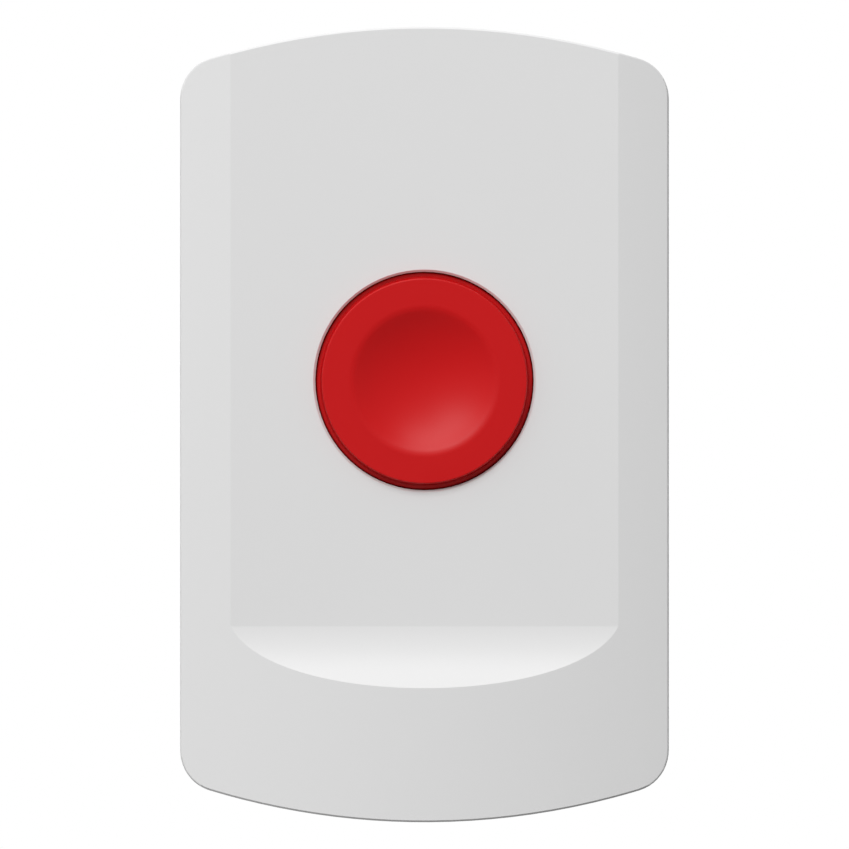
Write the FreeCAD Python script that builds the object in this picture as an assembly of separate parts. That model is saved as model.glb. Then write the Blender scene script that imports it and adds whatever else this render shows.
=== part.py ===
import FreeCAD, Part
import math
import os
from FreeCAD import Vector

# Wireless panic button for a wall: a white housing in two shells with one large red push cap.
# Millimetres. X is to the right, the front faces -Y, Z is up. The wall touches the plane y = 0,
# and the origin is the middle of the mounting face.

# Housing outline, seen from the front
housing_width = 62.0
housing_height = 100.8
end_arch_radius = 94.0
corner_radius = 5.4

# Depths, measured from the wall
base_depth = 7.0
cell_room = 1.25
base_draft = math.radians(2.0)
cover_draft = math.radians(0.5)
back_edge_bevel = 0.5
front_edge_bevel = 0.22
crease_round = 0.9

# Front face: a crown about a vertical axis, cut by a flat panel that ends in a scoop
side_strip = 6.5
panel_drop = 2.8
chin_height = 17.1
scoop_length = 7.8
scoop_entry_angle = math.radians(6.5)

# Walls
cover_wall = 2.2
base_wall = 2.2
back_thickness = 2.0
overshoot = 2.0
root_fusion = 0.4

# Lap joint between the two shells
seam_gap = 0.15
lap_wall = 1.0
lap_height = 2.5
lap_clearance = 0.2

# Push cap and its hole in the panel
button_height = 5.5
hole_radius = 13.8
hole_bevel = 0.28
cap_clearance = 0.15
cap_shoulder = 0.55
shoulder_drop = 1.0
cap_stand = 1.3
cap_edge_round = 0.25
shoulder_round = 0.1
dish_radius = 9.1
dish_depth = 2.2
dish_edge_round = 2.6
cap_wall = 1.8
cap_skirt_wall = 2.0
flange_width = 1.1
flange_thickness = 1.5
flange_gap = 0.15
push_travel = 1.5
cap_rib_count = 6
cap_rib_thickness = 1.0
cap_rib_height = 0.9
cap_rib_inner_radius = 5.4
key_count = 3
key_width = 3.0
key_length = 4.8
key_reach = 1.5
key_clearance = 0.2
stem_radius = 2.1
stem_tip_bevel = 0.3
spring_pad_radius = 4.7
spring_pad_height = 0.3

# Collar that guides the cap, and the plate that closes it
collar_clearance = 0.3
collar_wall = 1.6
retainer_gap = 0.5
guide_boss_radius = 2.7
guide_boss_overlap = 0.3
guide_pilot_radius = 1.0
guide_pilot_depth = 6.5
retainer_thickness = 1.6
retainer_ear_radius = 3.0
retainer_hole_radius = 1.35
stem_clearance = 0.08
hub_wall = 0.8
hub_height = 1.2
window_inner_radius = 6.8
window_outer_radius = 12.6
window_sweep = 66.0

# Return spring
wire_radius = 0.3
spring_turns = 4.5
wire_sides = 8
spring_hub_gap = 0.3
spring_end_gap = 0.02

# Screws: the same pan-head form in two lengths
screw_head_radius = 2.1
screw_head_height = 1.4
screw_shank_radius = 0.95
screw_slot_width = 0.6
screw_slot_depth = 0.6
retainer_screw_length = 7.0
board_screw_length = 4.3

# Circuit board on four pillars
board_side_gap = 2.8
board_top_gap = 16.4
board_cell_gap = 0.9
board_corner = 1.5
board_thickness = 1.6
board_standoff = 3.0
pillar_radius = 2.4
pillar_inset_x = 2.8
pillar_inset_z = 3.0
pillar_pilot_radius = 1.0
pillar_pilot_floor = 1.5
board_hole_radius = 1.3

# Push switch under the stem
switch_size = 8.5
switch_height = 3.0
switch_collar_radius = 2.7
switch_collar_height = 0.5
switch_floor = 0.3
switch_plunger_radius = 1.7
switch_plunger_clearance = 0.05
switch_plunger_seat = 1.0
switch_margin = 0.3
contact_gap = 0.1
switch_foot_size = 0.9
switch_foot_thickness = 0.25
switch_stake_radius = 0.45
switch_stake_height = 0.2
switch_stake_inset = 1.2

# Tamper switch at the side, held down by a post in the closed cover
tamper_edge = 4.0
tamper_z = 12.0
tamper_size = 6.2
tamper_height = 2.8
tamper_collar_radius = 2.1
tamper_plunger_radius = 1.25
tamper_plunger_rest = 0.6
tamper_plunger_seat = 1.8
tamper_post_radius = 1.6

# Lithium cell of the 17 x 34.5 mm size, lying across the housing
cell_radius = 8.5
cell_length = 34.5
cell_edge_bevel = 0.7
cell_nub_radius = 3.2
cell_nub_length = 1.0
cell_shift_x = 0.8

# Holder of the cell
holder_boss_gap = 1.3
holder_floor = 1.5
holder_clearance = 0.25
holder_wall = 1.35
cradle_length = 33.0
cradle_rise = 2.4
holder_end_wall = 1.5
holder_end_width = 15.0
holder_end_rise = 4.6
holder_length = 40.0
thumb_width = 15.0
thumb_depth = 6.0
stake_radius = 1.2
stake_clearance = 0.1
stake_spacing = 24.0
stake_shy = 0.2

# Sheet metal contacts of the cell
contact_thickness = 0.4
contact_width = 9.0
contact_rise = 4.0
tail_width = 2.6
tail_foot_reach = 2.6
tail_foot_length = 2.4
tail_foot_lap = 2.6
leaf_width = 6.0
leaf_tip_drop = 4.0

# Ribs in the cover that keep the cell down
cell_rib_spacing = 20.0
cell_rib_thickness = 1.4
cell_rib_length = 10.0
cell_rib_gap = 0.3

# Fixing to the wall
wall_screw_spacing = 80.0
wall_hole_radius = 2.2
wall_boss_radius = 4.6
wall_boss_height = 1.2

# Stiffening ribs and tape recesses of the base
base_rib_thickness = 1.2
base_rib_height = 1.2
base_rib_spacing_x = 26.0
base_rib_spacing_z = 22.0
tape_recess_width = 40.0
tape_recess_height = 20.0
tape_recess_depth = 0.4
tape_recess_spacing = 42.0
tape_recess_corner = 3.0

# Hooks at the top, on which the cover swings
hook_spacing = 14.0
hook_width = 5.0
hook_side_gap = 0.4
hook_inset = 2.5
hook_thickness = 1.8
hook_depth = 4.35
hook_nose_inset = 1.3
claw_radius = 3.4
claw_clearance = 0.2
pocket_inset = 1.0
pocket_end_gap = 0.5
hook_root_length = 6.0

# Snap catch at the bottom, drawn in its released position
catch_width = 9.0
catch_side_gap = 0.5
catch_thickness = 1.5
catch_release = 0.25
catch_nose = 0.95
catch_nose_length = 2.0
catch_end = 3.6
catch_root_length = 4.0
catch_pocket_gap = 0.3
release_slot_width = 6.0
release_slot_height = 1.2

# Radio module and its screening can
radio_edge = 5.2
radio_z = 25.6
radio_width = 18.0
radio_height = 10.4
radio_thickness = 0.8
can_width = 13.0
can_height = 8.6
can_depth = 1.8
can_corner = 0.8

# Antenna: one stiff wire that runs round the top corner of the board
antenna_radius = 0.4
antenna_start_edge = 6.0
antenna_edge = 1.4
antenna_stand = 3.8
antenna_end_z = 17.6
antenna_bend = 1.6
antenna_pad_gap = 0.02

# Microcontroller with bent leads on four sides
chip_gap = 0.65
chip_z = 25.0
chip_size = 7.0
chip_height = 1.2
chip_stand = 0.12
chip_bevel = 0.25
leads_per_side = 8
lead_spacing = 0.8
lead_width = 0.36
lead_thickness = 0.16
lead_reach = 1.1
lead_foot = 0.5

# Crystal, capacitors, resistors and test header
crystal_gap = 0.25
crystal_z = 28.6
crystal_length = 7.6
crystal_radius = 1.8
crystal_height = 2.6
crystal_flange = 0.35
crystal_flange_height = 0.4
tall_cap_edge = 3.8
tall_cap_z = 5.0
tall_cap_radius = 2.9
tall_cap_height = 5.0
tall_cap_base = 6.4
tall_cap_base_height = 0.8
tall_cap_groove = 0.25
header_edge = 3.7
header_z = 0.0
header_pins = 3
header_pin_spacing = 2.54
header_body = 2.5
header_pin_width = 0.64
header_pin_length = 5.0
chip_part_length = 2.0
chip_part_width = 1.25
chip_part_height = 0.8
chip_end_band = 0.4
chip_part_spacing = 3.2
capacitor_count = 6
capacitor_row_edge = 10.5
capacitor_row_z = 17.5
resistor_count = 8
resistor_row_edge = 14.0
resistor_row_rise = 3.5

# Tolerance for telling edges apart
same_place = 1e-6

# Planes and places that several pieces share
half_height = housing_height / 2
panel_width = housing_width - 2 * side_strip
cell_y = -(back_thickness + holder_floor + holder_clearance + cell_radius)
cover_depth = -cell_y + cell_radius + cell_room + cover_wall + panel_drop
seam = -base_depth
cover_rim = -(base_depth + seam_gap)
panel_face = -(cover_depth - panel_drop)
panel_back = panel_face + cover_wall
base_floor = -back_thickness
lap_end = -(base_depth + lap_height)
board_back = base_floor - board_standoff
board_face = board_back - board_thickness
switch_face = board_face - switch_height
switch_tip = switch_face - push_travel - switch_margin
stem_tip = switch_tip - contact_gap
retainer_back = switch_tip - retainer_gap
collar_end = retainer_back - retainer_thickness
tamper_face = board_face - tamper_height
tamper_tip = tamper_face - tamper_plunger_rest
tamper_post_tip = tamper_tip - contact_gap
cap_top = panel_face - cap_stand
shoulder_face = panel_face + shoulder_drop
flange_face = panel_back + flange_gap
flange_back = flange_face + flange_thickness
cap_radius = hole_radius - cap_clearance
flange_radius = hole_radius + flange_width
collar_inner_radius = flange_radius + collar_clearance
collar_radius = collar_inner_radius + collar_wall
guide_boss_offset = collar_radius + guide_boss_radius - guide_boss_overlap
stem_bore_radius = stem_radius + stem_clearance
hub_radius = stem_bore_radius + hub_wall
spring_mean_radius = hub_radius + spring_hub_gap + wire_radius
dish_sphere = (dish_radius ** 2 + dish_depth ** 2) / (2 * dish_depth)
dish_centre = cap_top + dish_depth - dish_sphere
spring_pad_face = cap_top + dish_depth + cap_wall + spring_pad_height
hook_pivot_y = cover_rim
hook_pivot_z = half_height

# Places on the board: the stack rises from the lower wall screw over the cell to the board
holder_half_width = cell_radius + holder_clearance + holder_wall
cell_z = -wall_screw_spacing / 2 + wall_boss_radius + holder_boss_gap + holder_half_width
board_bottom = cell_z + holder_half_width + board_cell_gap
board_top = half_height - board_top_gap
board_width = housing_width - 2 * (base_wall + board_side_gap)
board_edge = board_width / 2
tamper_x = tamper_edge - board_edge
header_x = header_edge - board_edge
tall_cap_x = board_edge - tall_cap_edge
radio_x = board_edge - radio_edge - radio_width / 2
crystal_x = radio_x - radio_width / 2 - crystal_gap - crystal_flange - crystal_length / 2
chip_x = crystal_x - crystal_length / 2 - crystal_flange - chip_gap - chip_size / 2 - lead_reach
capacitor_row_x = capacitor_row_edge - board_edge
resistor_row_x = resistor_row_edge - board_edge
resistor_row_z = board_bottom + resistor_row_rise
antenna_start_x = board_edge - antenna_start_edge

# Crown and scoop, worked out from the panel
crown_radius = ((panel_width / 2) ** 2 + panel_drop ** 2) / (2 * panel_drop)
crown_axis_y = -cover_depth + crown_radius
lip_z = -half_height + chin_height
scoop_start_z = lip_z + scoop_length
scoop_chord_angle = math.atan2(panel_drop, scoop_length)
scoop_chord = math.hypot(panel_drop, scoop_length)
scoop_radius = scoop_chord / (2 * math.sin(scoop_chord_angle - scoop_entry_angle))
scoop_centre_y = panel_face - scoop_radius * math.cos(scoop_entry_angle)
scoop_centre_z = scoop_start_z + scoop_radius * math.sin(scoop_entry_angle)

FORWARD = Vector(0, -1, 0)


# Basic forms

def block(x_min, x_max, y_back, y_front, z_min, z_max):
    """Box between two planes on each axis; y_back is the plane nearer to the wall."""
    size = (x_max - x_min, y_back - y_front, z_max - z_min)
    return Part.makeBox(*size, Vector(x_min, y_front, z_min))


def disc(radius, x, z, y_back, y_front):
    """Round bar along Y between two planes."""
    return Part.makeCylinder(radius, y_back - y_front, Vector(x, y_back, z), FORWARD)


def cone(radius_back, radius_front, x, z, y_back, y_front):
    """Tapered round bar along Y between two planes."""
    height = y_back - y_front
    return Part.makeCone(radius_back, radius_front, height, Vector(x, y_back, z), FORWARD)


def turned(points, x, z):
    """Solid of revolution about the Y line through x, z, from (radius, y) points."""
    corners = [Vector(x + radius, y, z) for radius, y in points]
    face = Part.Face(Part.makePolygon(corners + corners[:1]))
    return face.revolve(Vector(x, 0, z), FORWARD, 360)


def rounded_plate(width, height, corner, x, z, y_back, y_front):
    """Plate with round corners, centred on x, z."""
    plate = block(x - width / 2, x + width / 2, y_back, y_front, z - height / 2, z + height / 2)
    upright = [edge for edge in plate.Edges if is_along_y(edge)]
    return plate.makeFillet(corner, upright)


def is_along_y(edge):
    """True for a straight edge that runs front to back."""
    first, last = edge.Vertexes[0].Point, edge.Vertexes[-1].Point
    return abs(first.x - last.x) < same_place and abs(first.z - last.z) < same_place


def fused(shapes):
    """One clean solid from several that touch or overlap."""
    return shapes[0].multiFuse(shapes[1:]).removeSplitter()


def turned_about_button(shape, angle):
    """Copy of a shape, swung about the axis of the push cap."""
    copy = shape.copy()
    copy.rotate(Vector(0, 0, button_height), FORWARD, angle)
    return copy


def key_angles():
    """Directions of the cap's keys, in degrees about the cap's axis."""
    return [30 + 360 / key_count * index for index in range(key_count)]


def guide_angles():
    """Directions of the screw bosses, midway between the keys."""
    return [angle + 180 / key_count for angle in key_angles()]


def around_button(radius, angle):
    """X and Z of a point at a distance and a direction from the cap's axis."""
    turn = math.radians(angle)
    return radius * math.cos(turn), button_height + radius * math.sin(turn)


# Housing outline

def outline(inset, y):
    """Closed outline of the housing, moved inward by inset: straight sides and arched ends."""
    side = housing_width / 2 - inset
    arch = end_arch_radius - inset
    corner = max(corner_radius - inset, root_fusion)
    arch_centre = half_height - end_arch_radius
    corner_x = side - corner
    corner_z = arch_centre + math.sqrt((arch - corner) ** 2 - corner_x ** 2)
    lean = math.atan2(corner_x, corner_z - arch_centre)
    middle = (math.pi / 2 - lean) / 2
    straight = (side, corner_z)
    knee = (corner_x + corner * math.cos(middle), corner_z + corner * math.sin(middle))
    joint = (arch * math.sin(lean), arch_centre + arch * math.cos(lean))
    peak = (0, arch_centre + arch)

    def at(point, mirror_x, mirror_z):
        return Vector(mirror_x * point[0], y, mirror_z * point[1])

    edges = [
        Part.LineSegment(at(straight, 1, -1), at(straight, 1, 1)),
        Part.Arc(at(straight, 1, 1), at(knee, 1, 1), at(joint, 1, 1)),
        Part.Arc(at(joint, 1, 1), at(peak, 1, 1), at(joint, -1, 1)),
        Part.Arc(at(joint, -1, 1), at(knee, -1, 1), at(straight, -1, 1)),
        Part.LineSegment(at(straight, -1, 1), at(straight, -1, -1)),
        Part.Arc(at(straight, -1, -1), at(knee, -1, -1), at(joint, -1, -1)),
        Part.Arc(at(joint, -1, -1), at(peak, 1, -1), at(joint, 1, -1)),
        Part.Arc(at(joint, 1, -1), at(knee, 1, -1), at(straight, 1, -1)),
    ]
    return Part.Wire([edge.toShape() for edge in edges])


def slab(inset, y_back, y_front):
    """Plate of the housing's outline between two planes."""
    return Part.Face(outline(inset, y_back)).extrude(Vector(0, y_front - y_back, 0))


def band(outer_inset, inner_inset, y_back, y_front):
    """Wall that follows the housing's outline between two insets."""
    inner = slab(inner_inset, y_back + overshoot, y_front - overshoot)
    return slab(outer_inset, y_back, y_front).cut(inner)


def top_strip(centre_x, width, outer_inset, inner_inset, y_back, y_front):
    """Piece of such a wall at the upper end of the housing."""
    window = block(centre_x - width / 2, centre_x + width / 2,
                   y_back + overshoot, y_front - overshoot, 0, housing_height)
    return band(outer_inset, inner_inset, y_back, y_front).common(window)


def bottom_strip(width, outer_inset, inner_inset, y_back, y_front):
    """Piece of such a wall at the lower end of the housing."""
    window = block(-width / 2, width / 2, y_back + overshoot, y_front - overshoot,
                   -housing_height, 0)
    return band(outer_inset, inner_inset, y_back, y_front).common(window)


# Front cover

def panel_cutter(inset):
    """Everything in front of the flat panel and of the scoop at its lower end."""
    radius = scoop_radius + inset
    y_panel = panel_face + inset
    y_front = -cover_depth - overshoot
    z_top = half_height + overshoot

    def scoop_z(y):
        return scoop_centre_z - math.sqrt(radius ** 2 - (y - scoop_centre_y) ** 2)

    def at(y, z):
        return Vector(-housing_width, y, z)

    start = at(y_panel, scoop_z(y_panel))
    end = at(y_front, scoop_z(y_front))
    y_middle = (y_panel + y_front) / 2
    edges = [
        Part.LineSegment(at(y_front, z_top), at(y_panel, z_top)),
        Part.LineSegment(at(y_panel, z_top), start),
        Part.Arc(start, at(y_middle, scoop_z(y_middle)), end),
        Part.LineSegment(end, at(y_front, z_top)),
    ]
    profile = Part.Wire([edge.toShape() for edge in edges])
    return Part.Face(profile).extrude(Vector(2 * housing_width, 0, 0))


def cover_volume(inset, y_back):
    """Outer form of the cover, moved inward by inset."""
    y_front = -cover_depth - overshoot
    rings = [outline(inset + math.tan(cover_draft) * (cover_rim - y), y) for y in (y_back, y_front)]
    blank = Part.makeLoft(rings, True, True)
    crown = Part.makeCylinder(crown_radius - inset, 2 * housing_height,
                              Vector(0, crown_axis_y, -housing_height))
    return blank.common(crown).cut(panel_cutter(inset)).Solids[0]


def is_front_rim(edge):
    """True for an edge of the cover's front face that lies on its outer sides."""
    middle = edge.valueAt((edge.FirstParameter + edge.LastParameter) / 2)
    first, last = edge.Vertexes[0].Point, edge.Vertexes[-1].Point
    reach = cover_depth * math.tan(cover_draft) + corner_radius

    def is_outside(point):
        beside = abs(point.x) > housing_width / 2 - reach
        beyond = abs(point.z) > half_height - reach
        return beside or beyond

    in_front = middle.y < cover_rim - (cover_depth - base_depth) / 2
    spans_depth = abs(first.y - last.y) > cover_depth / 4
    return is_outside(middle) and in_front and not spans_depth


def is_crease(edge):
    """True for the two long edges between the panel and the crown."""
    middle = edge.valueAt((edge.FirstParameter + edge.LastParameter) / 2)
    on_line = abs(abs(middle.x) - panel_width / 2) < 1000 * same_place
    return on_line and abs(edge.Vertexes[0].Point.x - edge.Vertexes[-1].Point.x) < same_place


def cover_shell():
    """Cover with softened edges, hollow from behind, with the outer half of the lap joint."""
    body = cover_volume(0, cover_rim)
    body = body.makeFillet(crease_round, [edge for edge in body.Edges if is_crease(edge)])
    body = body.makeChamfer(front_edge_bevel, [edge for edge in body.Edges if is_front_rim(edge)])
    hollow = cover_volume(cover_wall, cover_rim + overshoot)
    recess = slab(lap_wall, cover_rim + overshoot, lap_end - lap_clearance)
    return body.cut(hollow).cut(recess)


def cap_collar():
    """Ring behind the panel that guides the cap, slit for the cap's keys."""
    ring = disc(collar_radius, 0, button_height, collar_end, panel_back - root_fusion)
    bore = disc(collar_inner_radius, 0, button_height, collar_end + overshoot, panel_back)
    slit = block(flange_radius - overshoot, collar_radius + overshoot,
                 collar_end + overshoot, panel_back,
                 button_height - key_width / 2 - key_clearance,
                 button_height + key_width / 2 + key_clearance)
    slits = [turned_about_button(slit, angle) for angle in key_angles()]
    return ring.cut(bore).cut(fused(slits))


def guide_boss(angle):
    """Boss beside the collar for one retainer screw."""
    x, z = around_button(guide_boss_offset, angle)
    boss = disc(guide_boss_radius, x, z, collar_end, panel_back - root_fusion)
    pilot = disc(guide_pilot_radius, x, z, collar_end + overshoot, collar_end - guide_pilot_depth)
    return boss.cut(pilot)


def tamper_post():
    """Post that holds the tamper switch down while the cover is closed."""
    return disc(tamper_post_radius, tamper_x, tamper_z, tamper_post_tip, panel_back - root_fusion)


def cell_ribs():
    """Two ribs inside the cover whose hollow edge stands just off the cell."""
    ribs = []
    for x in (-cell_rib_spacing / 2, cell_rib_spacing / 2):
        x += cell_shift_x
        ribs.append(block(x - cell_rib_thickness / 2, x + cell_rib_thickness / 2,
                          cell_y - cell_radius / 2, panel_back - root_fusion,
                          cell_z - cell_rib_length / 2, cell_z + cell_rib_length / 2))
    room = Part.makeCylinder(cell_radius + cell_rib_gap, housing_width,
                             Vector(-housing_width / 2, cell_y, cell_z), Vector(1, 0, 0))
    return [rib.cut(room) for rib in ribs]


def hook(x):
    """Claw at the top of the cover; its nose turns about the upper edge of the seam."""
    root = top_strip(x, hook_width, lap_wall + root_fusion, hook_inset + hook_thickness,
                     lap_end - lap_clearance - root_fusion,
                     lap_end - lap_clearance - root_fusion - hook_root_length)
    stem = top_strip(x, hook_width, hook_inset, hook_inset + hook_thickness,
                     cover_rim + hook_depth, lap_end - lap_clearance - hook_root_length)
    nose = top_strip(x, hook_width, hook_nose_inset, hook_inset + root_fusion,
                     cover_rim + hook_depth, cover_rim)
    swing = Part.makeCylinder(claw_radius, housing_width,
                              Vector(-housing_width / 2, hook_pivot_y, hook_pivot_z),
                              Vector(1, 0, 0))
    return fused([root, stem, nose.cut(swing)])


def catch_finger():
    """Snap finger at the bottom of the cover, pressed inward as it is while the cover opens."""
    outer = base_wall + catch_release + catch_nose
    inner = outer + catch_thickness
    y_root = lap_end - lap_clearance - root_fusion
    root = bottom_strip(catch_width, lap_wall + root_fusion, inner, y_root, y_root - catch_root_length)
    finger = bottom_strip(catch_width, outer, inner, -catch_end, y_root - catch_root_length)
    nose = bottom_strip(catch_width, outer - catch_nose, outer + root_fusion,
                        -catch_end, -catch_end - catch_nose_length)
    return fused([root, finger, nose])


def front_cover():
    hole = disc(hole_radius, 0, button_height, panel_back + overshoot, panel_face - overshoot)
    bevel = cone(hole_radius, hole_radius + hole_bevel, 0, button_height,
                 panel_face + hole_bevel, panel_face)
    pieces = [cover_shell(), cap_collar(), tamper_post(), catch_finger()]
    pieces += [guide_boss(angle) for angle in guide_angles()]
    pieces += cell_ribs()
    pieces += [hook(x) for x in (-hook_spacing / 2, hook_spacing / 2)]
    return fused(pieces).cut(hole).cut(bevel)


# Push cap, its spring and the plate that holds them in the cover

def cap_profile():
    """Half section of the cap: dished top, shoulder, skirt, flange, ceiling and stem."""
    skirt_inner = cap_radius - cap_skirt_wall
    ceiling = cap_top + cap_wall
    inner_sphere = dish_sphere + cap_wall
    inner_meet = math.sqrt(inner_sphere ** 2 - (ceiling - dish_centre) ** 2)
    top_radius = cap_radius - cap_shoulder

    def at(radius, y):
        return Vector(radius, y, button_height)

    def on_sphere(sphere, radius):
        return at(radius, dish_centre + math.sqrt(sphere ** 2 - radius ** 2))

    corners = [
        at(dish_radius, cap_top),
        at(top_radius, cap_top),
        at(top_radius, shoulder_face),
        at(cap_radius, shoulder_face),
        at(cap_radius, flange_face),
        at(flange_radius, flange_face),
        at(flange_radius, flange_back),
        at(skirt_inner, flange_back),
        at(skirt_inner, ceiling),
        at(inner_meet, ceiling),
    ]
    pad_edge = on_sphere(inner_sphere, spring_pad_radius)
    stem_end = [
        pad_edge,
        at(spring_pad_radius, spring_pad_face),
        at(stem_radius, spring_pad_face),
        at(stem_radius, stem_tip - stem_tip_bevel),
        at(stem_radius - stem_tip_bevel, stem_tip),
        at(0, stem_tip),
        on_sphere(dish_sphere, 0),
    ]
    edges = [Part.Arc(on_sphere(dish_sphere, 0), on_sphere(dish_sphere, dish_radius / 2), corners[0])]
    edges += [Part.LineSegment(a, b) for a, b in zip(corners, corners[1:])]
    middle = (inner_meet + spring_pad_radius) / 2
    edges += [Part.Arc(corners[-1], on_sphere(inner_sphere, middle), pad_edge)]
    edges += [Part.LineSegment(a, b) for a, b in zip(stem_end, stem_end[1:])]
    return Part.Face(Part.Wire([edge.toShape() for edge in edges]))


def circle_edge(shape, radius, y):
    """The circular edges of a shape with a given radius in a given plane."""
    found = []
    for edge in shape.Edges:
        if edge.Degenerated or edge.Curve.TypeId != "Part::GeomCircle":
            continue
        same_radius = abs(edge.Curve.Radius - radius) < same_place
        if same_radius and abs(edge.Curve.Center.y - y) < same_place:
            found.append(edge)
    return found


def button_cap():
    cap = cap_profile().revolve(Vector(0, 0, button_height), FORWARD, 360)
    cap = cap.makeFillet(cap_edge_round, circle_edge(cap, cap_radius - cap_shoulder, cap_top))
    cap = cap.makeFillet(shoulder_round, circle_edge(cap, cap_radius, shoulder_face))
    cap = cap.makeFillet(dish_edge_round, circle_edge(cap, dish_radius, cap_top))
    key = block(cap_radius - cap_skirt_wall / 2, flange_radius + key_reach,
                flange_face + key_length, flange_face,
                button_height - key_width / 2, button_height + key_width / 2)
    rib = block(cap_rib_inner_radius, cap_radius - cap_skirt_wall / 2,
                cap_top + cap_wall + cap_rib_height, cap_top + cap_wall - root_fusion,
                button_height - cap_rib_thickness / 2, button_height + cap_rib_thickness / 2)
    dome = Part.makeSphere(dish_sphere + cap_wall / 2, Vector(0, dish_centre, button_height))
    rib = rib.cut(dome)
    pieces = [turned_about_button(key, angle) for angle in key_angles()]
    pieces += [turned_about_button(rib, 360 / cap_rib_count * index) for index in range(cap_rib_count)]
    return fused([cap] + pieces)


def sector(radius, sweep, y_back, y_front):
    """Slice of a round bar about the cap's axis, evenly to both sides of the +X direction."""
    slice_ = Part.makeCylinder(radius, y_back - y_front, Vector(0, 0, 0), Vector(0, 0, 1), sweep)
    slice_.rotate(Vector(0, 0, 0), Vector(0, 0, 1), -sweep / 2)
    slice_.rotate(Vector(0, 0, 0), Vector(1, 0, 0), 90)
    slice_.translate(Vector(0, y_back, button_height))
    return slice_


def kidney_window(angle):
    """Curved opening in the retainer between two radii."""
    y_back = retainer_back + overshoot
    y_front = collar_end - overshoot
    outer = sector(window_outer_radius, window_sweep, y_back, y_front)
    window = outer.cut(disc(window_inner_radius, 0, button_height, y_back, y_front))
    return turned_about_button(window, angle)


def button_retainer():
    plate = disc(collar_radius, 0, button_height, retainer_back, collar_end)
    ears = []
    for angle in guide_angles():
        x, z = around_button(guide_boss_offset, angle)
        ears.append(disc(retainer_ear_radius, x, z, retainer_back, collar_end))
        arm = block(0, guide_boss_offset, retainer_back, collar_end,
                    button_height - retainer_ear_radius, button_height + retainer_ear_radius)
        ears.append(turned_about_button(arm, angle))
    hub = disc(hub_radius, 0, button_height, collar_end, collar_end - hub_height)
    body = fused([plate, hub] + ears)
    holes = [disc(stem_bore_radius, 0, button_height, retainer_back + overshoot,
                  collar_end - hub_height - overshoot)]
    holes += [kidney_window(angle) for angle in key_angles()]
    for angle in guide_angles():
        x, z = around_button(guide_boss_offset, angle)
        holes.append(disc(retainer_hole_radius, x, z, retainer_back + overshoot, collar_end - overshoot))
    for hole in holes:
        body = body.cut(hole)
    return body


def pan_head_screw(x, z, seat, length):
    """Screw that goes in towards the front, or towards the wall for a negative length."""
    way = math.copysign(1, length)
    head_far = seat + way * screw_head_height
    shank_far = seat - length
    head = turned([(0, seat), (screw_head_radius, seat),
                   (screw_head_radius, seat + way * screw_head_height / 2),
                   (screw_head_radius * 0.7, head_far), (0, head_far)], x, z)
    shank = turned([(0, seat), (screw_shank_radius, seat),
                    (screw_shank_radius, shank_far + way * screw_shank_radius),
                    (0, shank_far)], x, z)
    low, high = sorted((head_far - way * screw_slot_depth, head_far + way * overshoot))
    slots = []
    for half_x, half_z in ((screw_head_radius * 0.6, screw_slot_width / 2),
                           (screw_slot_width / 2, screw_head_radius * 0.6)):
        slots.append(block(x - half_x, x + half_x, high, low, z - half_z, z + half_z))
    return fused([head, shank]).cut(fused(slots))


def retainer_screws():
    screws = []
    for angle in guide_angles():
        x, z = around_button(guide_boss_offset, angle)
        screws.append(pan_head_screw(x, z, retainer_back, retainer_screw_length))
    return Part.makeCompound(screws)


def return_spring():
    """Open coil round the stem, between the retainer and the pad under the dish."""
    back = collar_end - wire_radius - spring_end_gap
    front = spring_pad_face + wire_radius + spring_end_gap
    length = back - front
    helix = Part.makeHelix(length / spring_turns, length, spring_mean_radius)
    helix.rotate(Vector(0, 0, 0), Vector(1, 0, 0), 90)
    helix.translate(Vector(0, back, button_height))
    path = Part.Wire(helix.Edges)
    start = path.Edges[0].valueAt(path.Edges[0].FirstParameter)
    along = path.Edges[0].tangentAt(path.Edges[0].FirstParameter)
    side = along.cross(FORWARD).normalize()
    up = along.cross(side).normalize()
    corners = []
    for index in range(wire_sides):
        turn = 2 * math.pi * index / wire_sides
        corners.append(start + side * (wire_radius * math.cos(turn)) + up * (wire_radius * math.sin(turn)))
    section = Part.makePolygon(corners + corners[:1])
    return path.makePipeShell([section], True, True)


# Rear base

def base_shell():
    """Tray with a flat mounting face and the inner half of the lap joint."""
    taper = base_depth * math.tan(base_draft)
    tray = Part.makeLoft([outline(taper, 0), outline(0, seam)], True, True)
    rim = [edge for edge in tray.Edges
           if abs(edge.BoundBox.YMin) < same_place and abs(edge.BoundBox.YMax) < same_place]
    tray = tray.makeChamfer(back_edge_bevel, rim)
    pocket = slab(base_wall, base_floor, seam - overshoot)
    tongue = band(lap_wall + lap_clearance, base_wall, seam + root_fusion, lap_end)
    return fused([tray.cut(pocket), tongue])


def pillar_places():
    """X and Z of the four board pillars."""
    x = board_width / 2 - pillar_inset_x
    return [(-x, board_top - pillar_inset_z), (x, board_top - pillar_inset_z),
            (-x, board_bottom + pillar_inset_z), (x, board_bottom + pillar_inset_z)]


def wall_screw_places():
    return [(0, wall_screw_spacing / 2), (0, -wall_screw_spacing / 2)]


def base_ribs():
    """Low ribs under the board, in two directions between the pillars."""
    middle = (board_top + board_bottom) / 2
    front = base_floor - base_rib_height
    half_x = board_width / 2 - pillar_inset_x
    half_z = (board_top - board_bottom) / 2 - pillar_inset_z
    ribs = []
    for x in (-base_rib_spacing_x / 2, base_rib_spacing_x / 2):
        ribs.append(block(x - base_rib_thickness / 2, x + base_rib_thickness / 2,
                          base_floor + root_fusion, front, middle - half_z, middle + half_z))
    for z in (middle - base_rib_spacing_z / 2, middle + base_rib_spacing_z / 2):
        ribs.append(block(-half_x, half_x, base_floor + root_fusion, front,
                          z - base_rib_thickness / 2, z + base_rib_thickness / 2))
    return ribs


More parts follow.
